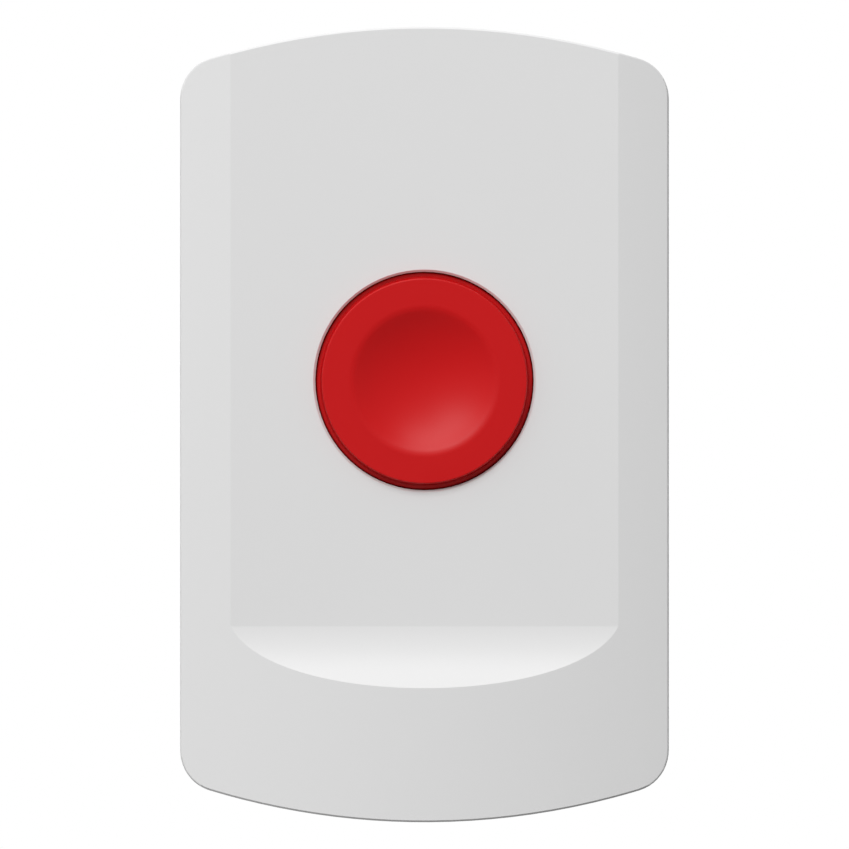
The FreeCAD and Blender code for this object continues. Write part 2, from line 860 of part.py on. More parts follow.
def hook_pocket(x):
    """Blind pocket behind the upper wall for the nose of one hook."""
    width = hook_width + 2 * hook_side_gap
    pocket = top_strip(x, width, pocket_inset, base_wall + root_fusion,
                       cover_rim + hook_depth + pocket_end_gap, cover_rim)
    ledge = Part.makeCylinder(claw_radius - claw_clearance, housing_width,
                              Vector(-housing_width / 2, hook_pivot_y, hook_pivot_z),
                              Vector(1, 0, 0))
    return pocket.cut(ledge)


def tongue_notch(x):
    """Gap in the lap tongue where a hook passes."""
    half = hook_width / 2 + hook_side_gap
    return block(x - half, x + half, seam, lap_end - overshoot, 0, housing_height)


def catch_pocket():
    """Pocket for the snap finger in the lower wall, with the slot that releases it."""
    width = catch_width + 2 * catch_side_gap
    back = -catch_end + catch_pocket_gap
    front = -catch_end - catch_nose_length - catch_pocket_gap
    pocket = bottom_strip(width, pocket_inset, base_wall + root_fusion, back, front)
    middle = (back + front) / 2
    slot = block(-release_slot_width / 2, release_slot_width / 2,
                 middle + release_slot_height / 2, middle - release_slot_height / 2,
                 -half_height - overshoot, -half_height + pocket_inset + root_fusion)
    return fused([pocket, slot])


def rear_base():
    pieces = [base_shell()] + base_ribs()
    pieces += [disc(pillar_radius, x, z, base_floor + root_fusion, board_back)
               for x, z in pillar_places()]
    pieces += [disc(wall_boss_radius, x, z, base_floor + root_fusion, base_floor - wall_boss_height)
               for x, z in wall_screw_places()]
    for x in (-stake_spacing / 2, stake_spacing / 2):
        pieces.append(disc(stake_radius, x, cell_z, base_floor + root_fusion,
                           base_floor - holder_floor + stake_shy))
    body = fused(pieces)
    cuts = [disc(pillar_pilot_radius, x, z, -pillar_pilot_floor, board_back - overshoot)
            for x, z in pillar_places()]
    cuts += [disc(wall_hole_radius, x, z, overshoot, base_floor - wall_boss_height - overshoot)
             for x, z in wall_screw_places()]
    for x in (-hook_spacing / 2, hook_spacing / 2):
        cuts += [hook_pocket(x), tongue_notch(x)]
    for z in (-tape_recess_spacing / 2, tape_recess_spacing / 2):
        cuts.append(rounded_plate(tape_recess_width, tape_recess_height, tape_recess_corner,
                                  0, z, overshoot, -tape_recess_depth))
    cuts.append(catch_pocket())
    for cut in cuts:
        body = body.cut(cut)
    return body


# Circuit board and what it carries

def main_board():
    middle = (board_top + board_bottom) / 2
    board = rounded_plate(board_width, board_top - board_bottom, board_corner,
                          0, middle, board_back, board_face)
    for x, z in pillar_places():
        board = board.cut(disc(board_hole_radius, x, z, board_back + overshoot, board_face - overshoot))
    return board


def board_screws():
    screws = [pan_head_screw(x, z, board_face, -board_screw_length) for x, z in pillar_places()]
    return Part.makeCompound(screws)


def switch_body(x, z, size, height, collar_radius_here, plunger_radius):
    """Square surface-mount switch with a round collar, four feet and four stakes."""
    face = board_face - height
    shoulder = face + switch_collar_height
    half = size / 2
    pieces = [rounded_plate(size, size, switch_foot_thickness, x, z, board_face, shoulder),
              disc(collar_radius_here, x, z, shoulder + root_fusion, face)]
    for side_x in (-1, 1):
        for side_z in (-1, 1):
            stake_x = x + side_x * (half - switch_stake_inset)
            stake_z = z + side_z * (half - switch_stake_inset)
            pieces.append(disc(switch_stake_radius, stake_x, stake_z,
                               shoulder + root_fusion, shoulder - switch_stake_height))
            inner, outer = sorted((x + side_x * (half - root_fusion),
                                   x + side_x * (half + switch_foot_size)))
            pieces.append(block(inner, outer, board_face, board_face - switch_foot_thickness,
                                stake_z - switch_foot_size / 2, stake_z + switch_foot_size / 2))
    bore = disc(plunger_radius + switch_plunger_clearance, x, z,
                board_face - switch_floor, face - overshoot)
    return fused(pieces).cut(bore)


def push_switch_body():
    return switch_body(0, button_height, switch_size, switch_height,
                       switch_collar_radius, switch_plunger_radius)


def push_switch_plunger():
    plunger = disc(switch_plunger_radius, 0, button_height,
                   switch_face + switch_plunger_seat, switch_tip)
    return plunger.makeChamfer(stem_tip_bevel, circle_edge(plunger, switch_plunger_radius, switch_tip))


def tamper_switch_body():
    return switch_body(tamper_x, tamper_z, tamper_size, tamper_height,
                       tamper_collar_radius, tamper_plunger_radius)


def tamper_plunger():
    plunger = disc(tamper_plunger_radius, tamper_x, tamper_z,
                   tamper_face + tamper_plunger_seat, tamper_tip)
    return plunger.makeChamfer(stem_tip_bevel, circle_edge(plunger, tamper_plunger_radius, tamper_tip))


def radio_module_board():
    return block(radio_x - radio_width / 2, radio_x + radio_width / 2,
                 board_face, board_face - radio_thickness,
                 radio_z - radio_height / 2, radio_z + radio_height / 2)


def radio_shield_can():
    seat = board_face - radio_thickness
    can = rounded_plate(can_width, can_height, can_corner, radio_x, radio_z, seat, seat - can_depth)
    top = [edge for edge in can.Edges if abs(edge.BoundBox.YMax - (seat - can_depth)) < same_place]
    return can.makeChamfer(can_corner / 3, top)


def bent_wire(points, bend, radius):
    """Round wire along straight runs joined by tangent arcs."""
    edges = []
    last = points[0]
    for before, corner, after in zip(points, points[1:], points[2:]):
        into = (corner - before).normalize()
        out = (after - corner).normalize()
        half_turn = into.getAngle(out) / 2
        setback = bend * math.tan(half_turn)
        start = corner - into * setback
        end = corner + out * setback
        towards = (out - into).normalize()
        middle = corner + towards * (bend / math.cos(half_turn) - bend)
        edges.append(Part.LineSegment(last, start).toShape())
        edges.append(Part.Arc(start, middle, end).toShape())
        last = end
    edges.append(Part.LineSegment(last, points[-1]).toShape())
    path = Part.Wire(edges)
    section = Part.Wire(Part.makeCircle(radius, points[0], points[1] - points[0]))
    return path.makePipeShell([section], True, True)


def antenna_wire():
    x_left = -board_width / 2 + antenna_edge
    z_top = board_top - antenna_edge
    y_pad = board_face - antenna_pad_gap
    y_run = board_face - antenna_stand
    points = [
        Vector(antenna_start_x, y_pad, z_top),
        Vector(antenna_start_x, y_run, z_top),
        Vector(x_left, y_run, z_top),
        Vector(x_left, y_run, antenna_end_z),
        Vector(x_left, y_pad, antenna_end_z),
    ]
    return bent_wire(points, antenna_bend, antenna_radius)


def lead():
    """One bent lead of the microcontroller, reaching out towards +X from the chip's side."""
    foot_face = board_face
    knee = board_face - chip_height / 2 - chip_stand
    side = chip_size / 2 - chip_bevel
    out = chip_size / 2 + lead_reach
    bend = out - lead_foot
    thick = lead_thickness
    points = [(side, knee), (bend - thick, knee), (bend, knee + thick), (bend, foot_face),
              (out, foot_face), (out, foot_face - thick), (bend + thick, foot_face - thick),
              (bend + thick, knee), (bend, knee - thick), (side, knee - thick)]
    corners = [Vector(x, y, -lead_width / 2) for x, y in points]
    face = Part.Face(Part.makePolygon(corners + corners[:1]))
    return face.extrude(Vector(0, 0, lead_width))


def microcontroller():
    back = board_face - chip_stand
    front = back - chip_height
    middle = (back + front) / 2
    half = chip_size / 2

    def square(size, y):
        corners = [Vector(-size, y, -size), Vector(size, y, -size), Vector(size, y, size),
                   Vector(-size, y, size)]
        return Part.makePolygon(corners + corners[:1])

    lower = Part.makeLoft([square(half - chip_bevel, back), square(half, middle)], True, True)
    upper = Part.makeLoft([square(half, middle), square(half - chip_bevel, front)], True, True)
    pieces = [lower, upper]
    for side in range(4):
        for index in range(leads_per_side):
            pin = lead()
            pin.translate(Vector(0, 0, (index - (leads_per_side - 1) / 2) * lead_spacing))
            pin.rotate(Vector(0, 0, 0), FORWARD, 90 * side)
            pieces.append(pin)
    chip = fused(pieces)
    chip.translate(Vector(chip_x, 0, chip_z))
    return chip


def stadium(x, z, length, radius, y_back, y_front):
    """Plate with two half-round ends, long in X."""
    half = length / 2 - radius
    middle = block(x - half, x + half, y_back, y_front, z - radius, z + radius)
    ends = [disc(radius, x + side * half, z, y_back, y_front) for side in (-1, 1)]
    return fused([middle] + ends)


def crystal_can():
    flange = stadium(crystal_x, crystal_z, crystal_length + 2 * crystal_flange,
                     crystal_radius + crystal_flange, board_face, board_face - crystal_flange_height)
    can = stadium(crystal_x, crystal_z, crystal_length, crystal_radius,
                  board_face, board_face - crystal_height)
    return fused([flange, can])


def electrolytic_capacitor():
    seat = board_face - tall_cap_base_height
    top = board_face - tall_cap_height
    groove = seat - tall_cap_base_height
    base = block(tall_cap_x - tall_cap_base / 2, tall_cap_x + tall_cap_base / 2, board_face, seat,
                 tall_cap_z - tall_cap_base / 2, tall_cap_z + tall_cap_base / 2)
    r = tall_cap_radius
    can = turned([(0, seat), (r, seat), (r, groove), (r - tall_cap_groove, groove - tall_cap_groove),
                  (r, groove - 2 * tall_cap_groove), (r, top + tall_cap_groove),
                  (r - tall_cap_groove, top), (0, top)], tall_cap_x, tall_cap_z)
    return fused([base, can])


def test_header():
    length = header_pins * header_pin_spacing
    seat = board_face - header_body
    pieces = [block(header_x - header_body / 2, header_x + header_body / 2, board_face, seat,
                    header_z - length / 2, header_z + length / 2)]
    half = header_pin_width / 2
    for index in range(header_pins):
        z = header_z + (index - (header_pins - 1) / 2) * header_pin_spacing
        pieces.append(block(header_x - half, header_x + half, seat + root_fusion,
                            board_face - header_pin_length, z - half, z + half))
    return fused(pieces)


def chip_part(x, z, height):
    """Small ceramic part with two raised end bands."""
    half = chip_part_length / 2
    body = block(x - half + chip_end_band, x + half - chip_end_band, board_face, board_face - height,
                 z - chip_part_width / 2, z + chip_part_width / 2)
    grow = chip_stand / 2
    ends = []
    for side in (-1, 1):
        inner, outer = sorted((x + side * (half - chip_end_band), x + side * half))
        ends.append(block(inner, outer, board_face, board_face - height - grow,
                          z - chip_part_width / 2 - grow, z + chip_part_width / 2 + grow))
    return fused([body] + ends)


def ceramic_capacitors():
    parts = [chip_part(capacitor_row_x, capacitor_row_z - chip_part_spacing * index, chip_part_height)
             for index in range(capacitor_count)]
    return Part.makeCompound(parts)


def chip_resistors():
    parts = [chip_part(resistor_row_x + chip_part_spacing * index, resistor_row_z, chip_part_height / 2)
             for index in range(resistor_count)]
    return Part.makeCompound(parts)


# Cell, its holder and contacts

def along_x(radius, x_min, x_max):
    """Round bar along X on the cell's axis."""
    return Part.makeCylinder(radius, x_max - x_min, Vector(x_min, cell_y, cell_z), Vector(1, 0, 0))


def battery_cell():
    left = cell_shift_x - cell_length / 2
    right = cell_shift_x + cell_length / 2
    can = along_x(cell_radius, left, right - cell_nub_length)
    rims = [edge for edge in can.Edges if edge.Curve.TypeId == "Part::GeomCircle"]
    can = can.makeChamfer(cell_edge_bevel, rims)
    return fused([can, along_x(cell_nub_radius, right - cell_nub_length - root_fusion, right)])


def battery_holder():
    cradle_radius = cell_radius + holder_clearance
    half = holder_half_width
    floor = block(-holder_length / 2, holder_length / 2, base_floor, base_floor - holder_floor,
                  cell_z - half, cell_z + half)
    cradle = block(-cradle_length / 2, cradle_length / 2, base_floor, cell_y - cradle_rise,
                   cell_z - half, cell_z + half)
    thumb = block(-thumb_width / 2, thumb_width / 2, cell_y - cradle_rise + thumb_depth,
                  cell_y - cradle_rise - overshoot, cell_z - half - overshoot, cell_z + half + overshoot)
    cradle = cradle.cut(thumb)
    ends = []
    for side in (-1, 1):
        inner, outer = sorted((side * (holder_length / 2 - holder_end_wall), side * holder_length / 2))
        ends.append(block(inner, outer, base_floor, cell_y - holder_end_rise,
                          cell_z - holder_end_width / 2, cell_z + holder_end_width / 2))
    body = fused([floor, cradle] + ends)
    body = body.cut(along_x(cradle_radius, -holder_length / 2 + holder_end_wall,
                            holder_length / 2 - holder_end_wall))
    for x in (-stake_spacing / 2, stake_spacing / 2):
        body = body.cut(disc(stake_radius + stake_clearance, x, cell_z,
                             base_floor + overshoot, base_floor - holder_floor - overshoot))
    return body


def contact_tail(x_min, x_max, side):
    """Strip that runs up from a contact plate and ends in a foot on the board."""
    y_back = board_face
    arm = block(x_min, x_max, y_back, y_back - tail_width,
                cell_z + contact_width / 2 - root_fusion, board_bottom + tail_foot_lap)
    inner, outer = sorted((x_max if side < 0 else x_min, (x_max if side < 0 else x_min)
                           - side * tail_foot_reach))
    foot = block(inner - root_fusion, outer + root_fusion, y_back, y_back - contact_thickness,
                 board_bottom + tail_foot_lap - tail_foot_length, board_bottom + tail_foot_lap)
    return [arm, foot]


def contact_plate(x_min, x_max):
    """Upright plate behind one end of the cell."""
    return block(x_min, x_max, board_face, cell_y - contact_rise,
                 cell_z - contact_width / 2, cell_z + contact_width / 2)


def battery_contact_positive():
    x_min = cell_shift_x + cell_length / 2
    x_max = x_min + contact_thickness
    return fused([contact_plate(x_min, x_max)] + contact_tail(x_min, x_max, 1))


def battery_contact_negative():
    x_min = -holder_length / 2 + holder_end_wall
    x_max = x_min + contact_thickness
    touch = cell_shift_x - cell_length / 2
    top = cell_y - contact_rise
    thick = contact_thickness
    points = [(x_min, top), (x_min, top - thick), (x_max + thick, top - thick),
              (touch, cell_y), (touch - thick, cell_y + leaf_tip_drop),
              (touch - 2 * thick, cell_y + leaf_tip_drop), (touch - thick, cell_y), (x_max, top)]
    corners = [Vector(x, y, cell_z - leaf_width / 2) for x, y in points]
    leaf = Part.Face(Part.makePolygon(corners + corners[:1])).extrude(Vector(0, 0, leaf_width))
    return fused([contact_plate(x_min, x_max), leaf] + contact_tail(x_min, x_max, -1))


PIECES = {
    "rear_base": rear_base,
    "front_cover": front_cover,
    "button_cap": button_cap,
    "button_retainer": button_retainer,
    "retainer_screws": retainer_screws,
    "return_spring": return_spring,
    "main_board": main_board,
    "board_screws": board_screws,
    "push_switch_body": push_switch_body,
    "push_switch_plunger": push_switch_plunger,
    "tamper_switch_body": tamper_switch_body,
    "tamper_plunger": tamper_plunger,
    "radio_module_board": radio_module_board,
    "radio_shield_can": radio_shield_can,
    "antenna_wire": antenna_wire,
    "microcontroller": microcontroller,
    "crystal_can": crystal_can,
    "electrolytic_capacitor": electrolytic_capacitor,
    "test_header": test_header,
    "ceramic_capacitors": ceramic_capacitors,
    "chip_resistors": chip_resistors,
    "battery_cell": battery_cell,
    "battery_holder": battery_holder,
    "battery_contact_positive": battery_contact_positive,
    "battery_contact_negative": battery_contact_negative,
}


def main():
    os.makedirs("parts", exist_ok=True)
    for name, build in PIECES.items():
        shape = build()
        box = shape.BoundBox
        print(f"{name}: valid {shape.isValid()}, solids {len(shape.Solids)}, "
              f"volume {shape.Volume:.1f}, faces {len(shape.Faces)}, "
              f"x {box.XMin:.2f}..{box.XMax:.2f}, y {box.YMin:.2f}..{box.YMax:.2f}, "
              f"z {box.ZMin:.2f}..{box.ZMax:.2f}")
        shape.exportStep(f"parts/{name}.step")


main()
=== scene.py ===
"""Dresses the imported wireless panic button: finishes, fine detail, studio and camera.

Sizes in the classes are millimetres, apart from those of the studio, which are metres. The wall is the
plane y = 0, the button faces -Y and +Z is up. Pieces that lie flat on a face are drawn in that face's own
frame: right, up, and out of the face.
"""

import logging
import math
from collections.abc import Callable, Iterable, Sequence
from dataclasses import dataclass
from enum import Enum

import bmesh
import bpy
from mathutils import Matrix, Vector


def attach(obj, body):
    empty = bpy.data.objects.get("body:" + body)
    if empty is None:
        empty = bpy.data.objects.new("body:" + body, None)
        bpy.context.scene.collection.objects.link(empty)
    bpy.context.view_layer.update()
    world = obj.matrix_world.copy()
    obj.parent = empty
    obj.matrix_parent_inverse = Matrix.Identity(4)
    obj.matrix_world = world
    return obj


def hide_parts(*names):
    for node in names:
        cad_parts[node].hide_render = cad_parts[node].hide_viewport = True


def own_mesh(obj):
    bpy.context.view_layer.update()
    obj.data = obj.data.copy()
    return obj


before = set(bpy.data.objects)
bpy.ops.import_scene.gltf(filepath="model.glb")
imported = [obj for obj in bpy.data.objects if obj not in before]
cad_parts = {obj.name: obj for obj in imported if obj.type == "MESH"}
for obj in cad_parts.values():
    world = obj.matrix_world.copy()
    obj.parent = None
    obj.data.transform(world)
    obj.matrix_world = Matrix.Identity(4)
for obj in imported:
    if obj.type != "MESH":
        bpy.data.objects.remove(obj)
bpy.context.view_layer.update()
MM = 0.001
# Points of a CAD mesh that lie nearer than this are one, in millimetres
CAD_WELD = 0.002
# Height of the button's axis above the middle of the housing
BUTTON_UP = 5.5
# The two sides of a middle line
SIDES = (-1, 1)
# A normal with more than this along an axis faces that way
FACES_AXIS = 0.5
# Places nearer than this are the same, in millimetres
NEAR = 0.01
log = logging.getLogger("panic_button")

Colour = tuple[float, float, float]
Point = tuple[float, float, float]
Place = tuple[float, float]
Test = Callable[[Vector, Vector], bool]
Socket = bpy.types.NodeSocket


def spaced(count: int, pitch: float) -> list[float]:
    """Places at an even pitch, with 0 in their middle."""
    return [(index - (count - 1) / 2) * pitch for index in range(count)]


class Body(Enum):
    """The bodies of the model, each of which moves as one."""

    BASE = "base"
    COVER = "cover"
    BUTTON = "button"
    PUSH_PIN = "switch_plunger"
    TAMPER_PIN = "tamper_pin"


class Facing(Enum):
    """Which way a flat piece looks: towards the user, or towards the wall."""

    USER = 90.0
    WALL = -90.0

    def local(self, x: float, y: float, z: float) -> Point:
        """Place in the face's own frame of a point of the object, all in millimetres."""
        return (x, z, -y) if self is Facing.USER else (x, -z, y)

    def matrix(self) -> Matrix:
        """Turns a mesh from the face's own frame, in millimetres, into the object's, in metres."""
        return Matrix.Rotation(math.radians(self.value), 4, "X") @ Matrix.Scale(MM, 4)


# Node trees

class Graph:
    """Adds nodes to a tree, with each input given as a plain value or as the socket to link from."""

    def __init__(self, tree: bpy.types.NodeTree) -> None:
        """Keeps the tree that the nodes go into."""
        self.tree = tree

    def feed(self, node: bpy.types.Node, inputs: dict) -> None:
        """Sets or links some of a node's inputs.

        Args:
            node: the node.
            inputs: values or sockets, by the input's name or number.
        """
        for key, value in inputs.items():
            if isinstance(value, Socket):
                self.tree.links.new(value, node.inputs[key])
            else:
                node.inputs[key].default_value = value

    def add(self, kind: str, inputs: dict | None = None, **settings: object) -> bpy.types.Node:
        """Adds one node.

        Args:
            kind: Blender's name of the node type.
            inputs: values or sockets, by the input's name or number.
            settings: properties of the node, such as its operation.

        Returns:
            The new node.
        """
        node = self.tree.nodes.new(kind)
        for name, value in settings.items():
            setattr(node, name, value)
        self.feed(node, inputs or {})
        return node

    def position(self) -> Socket:
        """Object coordinates."""
        return self.add("ShaderNodeTexCoord").outputs["Object"]

    def math(self, operation: str, *values: object) -> Socket:
        """Result of a Math node on values or sockets."""
        inputs = dict(enumerate(values))
        return self.add("ShaderNodeMath", inputs, operation=operation).outputs[0]

    def noise(self, vector: Socket, scale: object, detail: float) -> Socket:
        """Noise between 0 and 1 at a point."""
        inputs = {"Vector": vector, "Scale": scale, "Detail": detail, "Roughness": 0.6}
        return self.add("ShaderNodeTexNoise", inputs).outputs[0]

    def ramp(self, value: Socket, low: object, high: object, top: object = 1.0,
             **settings: object) -> Socket:
        """Rises from 0 to the top between two values, and is flat outside them.

        Args:
            value: the socket to follow.
            low: the value at which the rise begins.
            high: the value at which it ends.
            top: what it rises to.
            settings: properties of the node, such as its interpolation.

        Returns:
            The ramp's socket.
        """
        inputs = {"Value": value, "From Min": low, "From Max": high, "To Max": top}
        return self.add("ShaderNodeMapRange", inputs, **settings).outputs[0]

    def mix(self, share: Socket, first: object, second: object) -> Socket:
        """Colour between two, by a share from 0 to 1."""
        inputs = {0: share, 6: first, 7: second}
        return self.add("ShaderNodeMix", inputs, data_type="RGBA").outputs[2]

    def toned(self, colour: Socket, change: Socket, amount: object, level: float = 1.0) -> Socket:
        """Makes a colour lighter and darker over a surface.

        Args:
            colour: the colour.
            change: what varies over the surface.
            amount: how much the change counts.
            level: the brightness where the change is 0.

        Returns:
            The toned colour.
        """
        gain = self.math("MULTIPLY_ADD", change, amount, level)
        inputs = {0: colour, "Scale": gain}
        return self.add("ShaderNodeVectorMath", inputs, operation="SCALE").outputs[0]

    def relief(self, height: Socket, depth_mm: float) -> Socket:
        """Normal of a relief, from a height between 0 and 1 and the depth that 1 stands for."""
        inputs = {"Height": height, "Distance": depth_mm * MM}
        return self.add("ShaderNodeBump", inputs).outputs[0]

    def effect(self, name: str, inputs: dict) -> bpy.types.Node:
        """Places a shared effect, with values or sockets for its inputs."""
        return self.add("ShaderNodeGroup", inputs, node_tree=SharedEffects.get(name))


def open_group(name: str, kind: str, inputs: Sequence[tuple], outputs: Sequence[tuple]) -> tuple:
    """Starts a node group with named sockets.

    Args:
        name: the group's name.
        kind: ShaderNodeTree or GeometryNodeTree.
        inputs: name, socket type and optional default of each input.
        outputs: name and socket type of each output.

    Returns:
        The group's graph, the sockets that give its inputs, by name, and its output node.
    """
    tree = bpy.data.node_groups.new(name, kind)
    for label, socket_type, *default in inputs:
        socket = tree.interface.new_socket(label, in_out="INPUT", socket_type=socket_type)
        if default:
            socket.default_value = default[0]
    for label, socket_type in outputs:
        tree.interface.new_socket(label, in_out="OUTPUT", socket_type=socket_type)
    graph = Graph(tree)
    return graph, graph.add("NodeGroupInput").outputs, graph.add("NodeGroupOutput")


class SharedEffects:
    """Shader groups for what the surfaces have in common. Each is built once."""

    trees: dict[str, bpy.types.NodeTree] = {}

    @classmethod
    def get(cls, name: str) -> bpy.types.NodeTree:
        """Finds a group, which is built at its first use.

        Args:
            name: the name of the group and of the method that builds it.

        Returns:
            The group.
        """
        if name not in cls.trees:
            cls.trees[name] = getattr(cls, name)()
        return cls.trees[name]

    @staticmethod
    def mould_grain() -> bpy.types.NodeTree:
        """Builds the spark-eroded grain and slow unevenness of a moulded surface.

        Returns:
            The group.
        """
        graph, given, sink = open_group(
            "mould_grain", "ShaderNodeTree",
            [("Colour", "NodeSocketColor"), ("Tone", "NodeSocketFloat", 0.02),
             ("Grain Scale", "NodeSocketFloat", 4000.0), ("Cloud Scale", "NodeSocketFloat", 60.0),
             ("Roughness", "NodeSocketFloat", 0.4), ("Spread", "NodeSocketFloat", 0.05)],
            [("Colour", "NodeSocketColor"), ("Roughness", "NodeSocketFloat"),
             ("Height", "NodeSocketFloat")])
        position = graph.position()
        grain = graph.noise(position, given["Grain Scale"], 3.0)
        cloud = graph.noise(position, given["Cloud Scale"], 2.0)
        swing = graph.math("SUBTRACT", cloud, 0.5)
        fine = graph.math("SUBTRACT", grain, 0.5)
        rough = graph.math("MULTIPLY_ADD", fine, given["Spread"], given["Roughness"])
        graph.feed(sink, {"Colour": graph.toned(given["Colour"], swing, given["Tone"]),
                          "Roughness": rough, "Height": grain})
        return graph.tree

    @staticmethod
    def hairlines() -> bpy.types.NodeTree:
        """Builds the sparse fine lines that wiping and handling leave in two directions.

        Returns:
            The group.
        """
        graph, given, sink = open_group(
            "hairlines", "ShaderNodeTree",
            [("Amount", "NodeSocketFloat", 0.1), ("Roughness", "NodeSocketFloat", 0.3)],
            [("Roughness", "NodeSocketFloat")])
        position = graph.position()
        masks = []
        for turn, stretch in ((0.5, (40.0, 40.0, 1400.0)), (-0.9, (1500.0, 40.0, 30.0))):
            line = graph.add("ShaderNodeMapping", {"Vector": position, "Rotation": (0.0, turn, 0.0),
                                                   "Scale": stretch}).outputs[0]
            masks.append(graph.ramp(graph.noise(line, 1.0, 1.0), 0.66, 0.74))
        both = graph.math("MAXIMUM", *masks)
        rough = graph.math("MULTIPLY_ADD", both, given["Amount"], given["Roughness"])
        graph.feed(sink, {"Roughness": rough})
        return graph.tree

    @staticmethod
    def drawn_metal() -> bpy.types.NodeTree:
        """Builds the fine lines that rolling, drawing or plating leaves in metal.

        Returns:
            The group.
        """
        graph, given, sink = open_group(
            "drawn_metal", "ShaderNodeTree",
            [("Colour", "NodeSocketColor"), ("Stretch", "NodeSocketVector"),
             ("Tone", "NodeSocketFloat", 0.15), ("Roughness", "NodeSocketFloat", 0.3),
             ("Spread", "NodeSocketFloat", 0.15)],
            [("Colour", "NodeSocketColor"), ("Roughness", "NodeSocketFloat"),
             ("Height", "NodeSocketFloat")])
        along = graph.add("ShaderNodeVectorMath", {0: graph.position(), 1: given["Stretch"]},
                          operation="MULTIPLY").outputs[0]
        lines = graph.noise(along, 1.0, 3.0)
        swing = graph.math("SUBTRACT", lines, 0.5)
        rough = graph.math("MULTIPLY_ADD", swing, given["Spread"], given["Roughness"])
        graph.feed(sink, {"Colour": graph.toned(given["Colour"], swing, given["Tone"]),
                          "Roughness": rough, "Height": lines})
        return graph.tree

    @staticmethod
    def band_mask() -> bpy.types.NodeTree:
        """Builds the mask of a printed band: 1 between two places along the X axis.

        Returns:
            The group.
        """
        graph, given, sink = open_group(
            "band_mask", "ShaderNodeTree",
            [("From", "NodeSocketFloat", 0.0), ("To", "NodeSocketFloat", 0.01)],
            [("Mask", "NodeSocketFloat")])
        along = graph.add("ShaderNodeSeparateXYZ", {"Vector": graph.position()}).outputs["X"]
        after = graph.math("GREATER_THAN", along, given["From"])
        before = graph.math("LESS_THAN", along, given["To"])
        graph.feed(sink, {"Mask": graph.math("MULTIPLY", after, before)})
        return graph.tree

    @staticmethod
    def glass_weave() -> bpy.types.NodeTree:
        """Builds the crossed threads of the glass cloth that show through a board's mask.

        Returns:
            The group.
        """
        graph, given, sink = open_group(
            "glass_weave", "ShaderNodeTree",
            [("Colour", "NodeSocketColor"), ("Thread Scale", "NodeSocketFloat", 700.0),
             ("Depth", "NodeSocketFloat", 0.12)],
            [("Colour", "NodeSocketColor"), ("Height", "NodeSocketFloat")])
        inputs = {"Vector": graph.position(), "Scale": given["Thread Scale"], "Distortion": 0.4}
        waves = [graph.add("ShaderNodeTexWave", inputs, bands_direction=direction).outputs[1]
                 for direction in ("X", "Z")]
        cloth = graph.math("MULTIPLY", *waves)
        graph.feed(sink, {"Colour": graph.toned(given["Colour"], cloth, given["Depth"], 0.95),
                          "Height": cloth})
        return graph.tree


# Finishes

def opaque(colour: Colour) -> tuple[float, float, float, float]:
    """The colour as a socket takes it, with full opacity."""
    return (*colour, 1.0)


@dataclass(frozen=True)
class Finish:
    """What every finish has. By itself it is one even colour, for ink and small marks."""

    name: str
    colour: Colour
    roughness: float = 0.4
    mirror: float = 0.5

    def open(self) -> tuple[bpy.types.Material, Graph, bpy.types.Node]:
        """Starts the material.

        Returns:
            The material, its graph and its Principled shader.
        """
        material = bpy.data.materials.new(self.name)
        material.use_nodes = True
        graph = Graph(material.node_tree)
        shader = material.node_tree.nodes["Principled BSDF"]
        graph.feed(shader, {"Specular IOR Level": self.mirror})
        return material, graph, shader

    def banded(self, graph: Graph, band: Colour, band_mm: tuple[float, float]) -> tuple[Socket, Socket]:
        """Prints a band of another colour over the finish's own.

        Args:
            graph: the material's graph.
            band: the band's colour.
            band_mm: where it begins and ends along the X axis.

        Returns:
            The colour, and the mask of the band.
        """
        low, high = band_mm
        mask = graph.effect("band_mask", {"From": low * MM, "To": high * MM}).outputs[0]
        return graph.mix(mask, opaque(self.colour), opaque(band)), mask

    def build(self) -> bpy.types.Material:
        """Builds the material.

        Returns:
            The material.
        """
        material, graph, shader = self.open()
        grain = graph.effect("mould_grain", {"Colour": opaque(self.colour), "Tone": 0.1,
                                             "Roughness": self.roughness}).outputs
        graph.feed(shader, {"Base Color": grain["Colour"], "Roughness": grain["Roughness"]})
        return material


@dataclass(frozen=True)
class MouldedPlastic(Finish):
    """Injection-moulded plastic with the grain of its mould, and fine marks where it is handled."""

    grain_scale: float = 4000.0
    grain_mm: float = 0.004
    tone: float = 0.02
    spread: float = 0.05
    marks: float = 0.0

    def tint(self, graph: Graph) -> object:
        """The plastic's colour: the same all over."""
        return opaque(self.colour)

    def build(self) -> bpy.types.Material:
        """Builds the material.

        Returns:
            The material.
        """
        material, graph, shader = self.open()
        grain = graph.effect("mould_grain", {
            "Colour": self.tint(graph), "Tone": self.tone, "Grain Scale": self.grain_scale,
            "Roughness": self.roughness, "Spread": self.spread}).outputs
        rough = grain["Roughness"]
        if self.marks > 0:
            rough = graph.effect("hairlines", {"Amount": self.marks, "Roughness": rough}).outputs[0]
        graph.feed(shader, {"Base Color": grain["Colour"], "Roughness": rough,
                            "Normal": graph.relief(grain["Height"], self.grain_mm)})
        return material


@dataclass(frozen=True)
class ShrunkSleeve(MouldedPlastic):
    """Printed plastic sleeve on the cell, with a plain band near its positive end."""

    band: Colour = (0.5, 0.5, 0.52)
    band_mm: tuple[float, float] = (8.6, 13.2)

    def tint(self, graph: Graph) -> object:
        """The sleeve's colour and the band's."""
        return self.banded(graph, self.band, self.band_mm)[0]


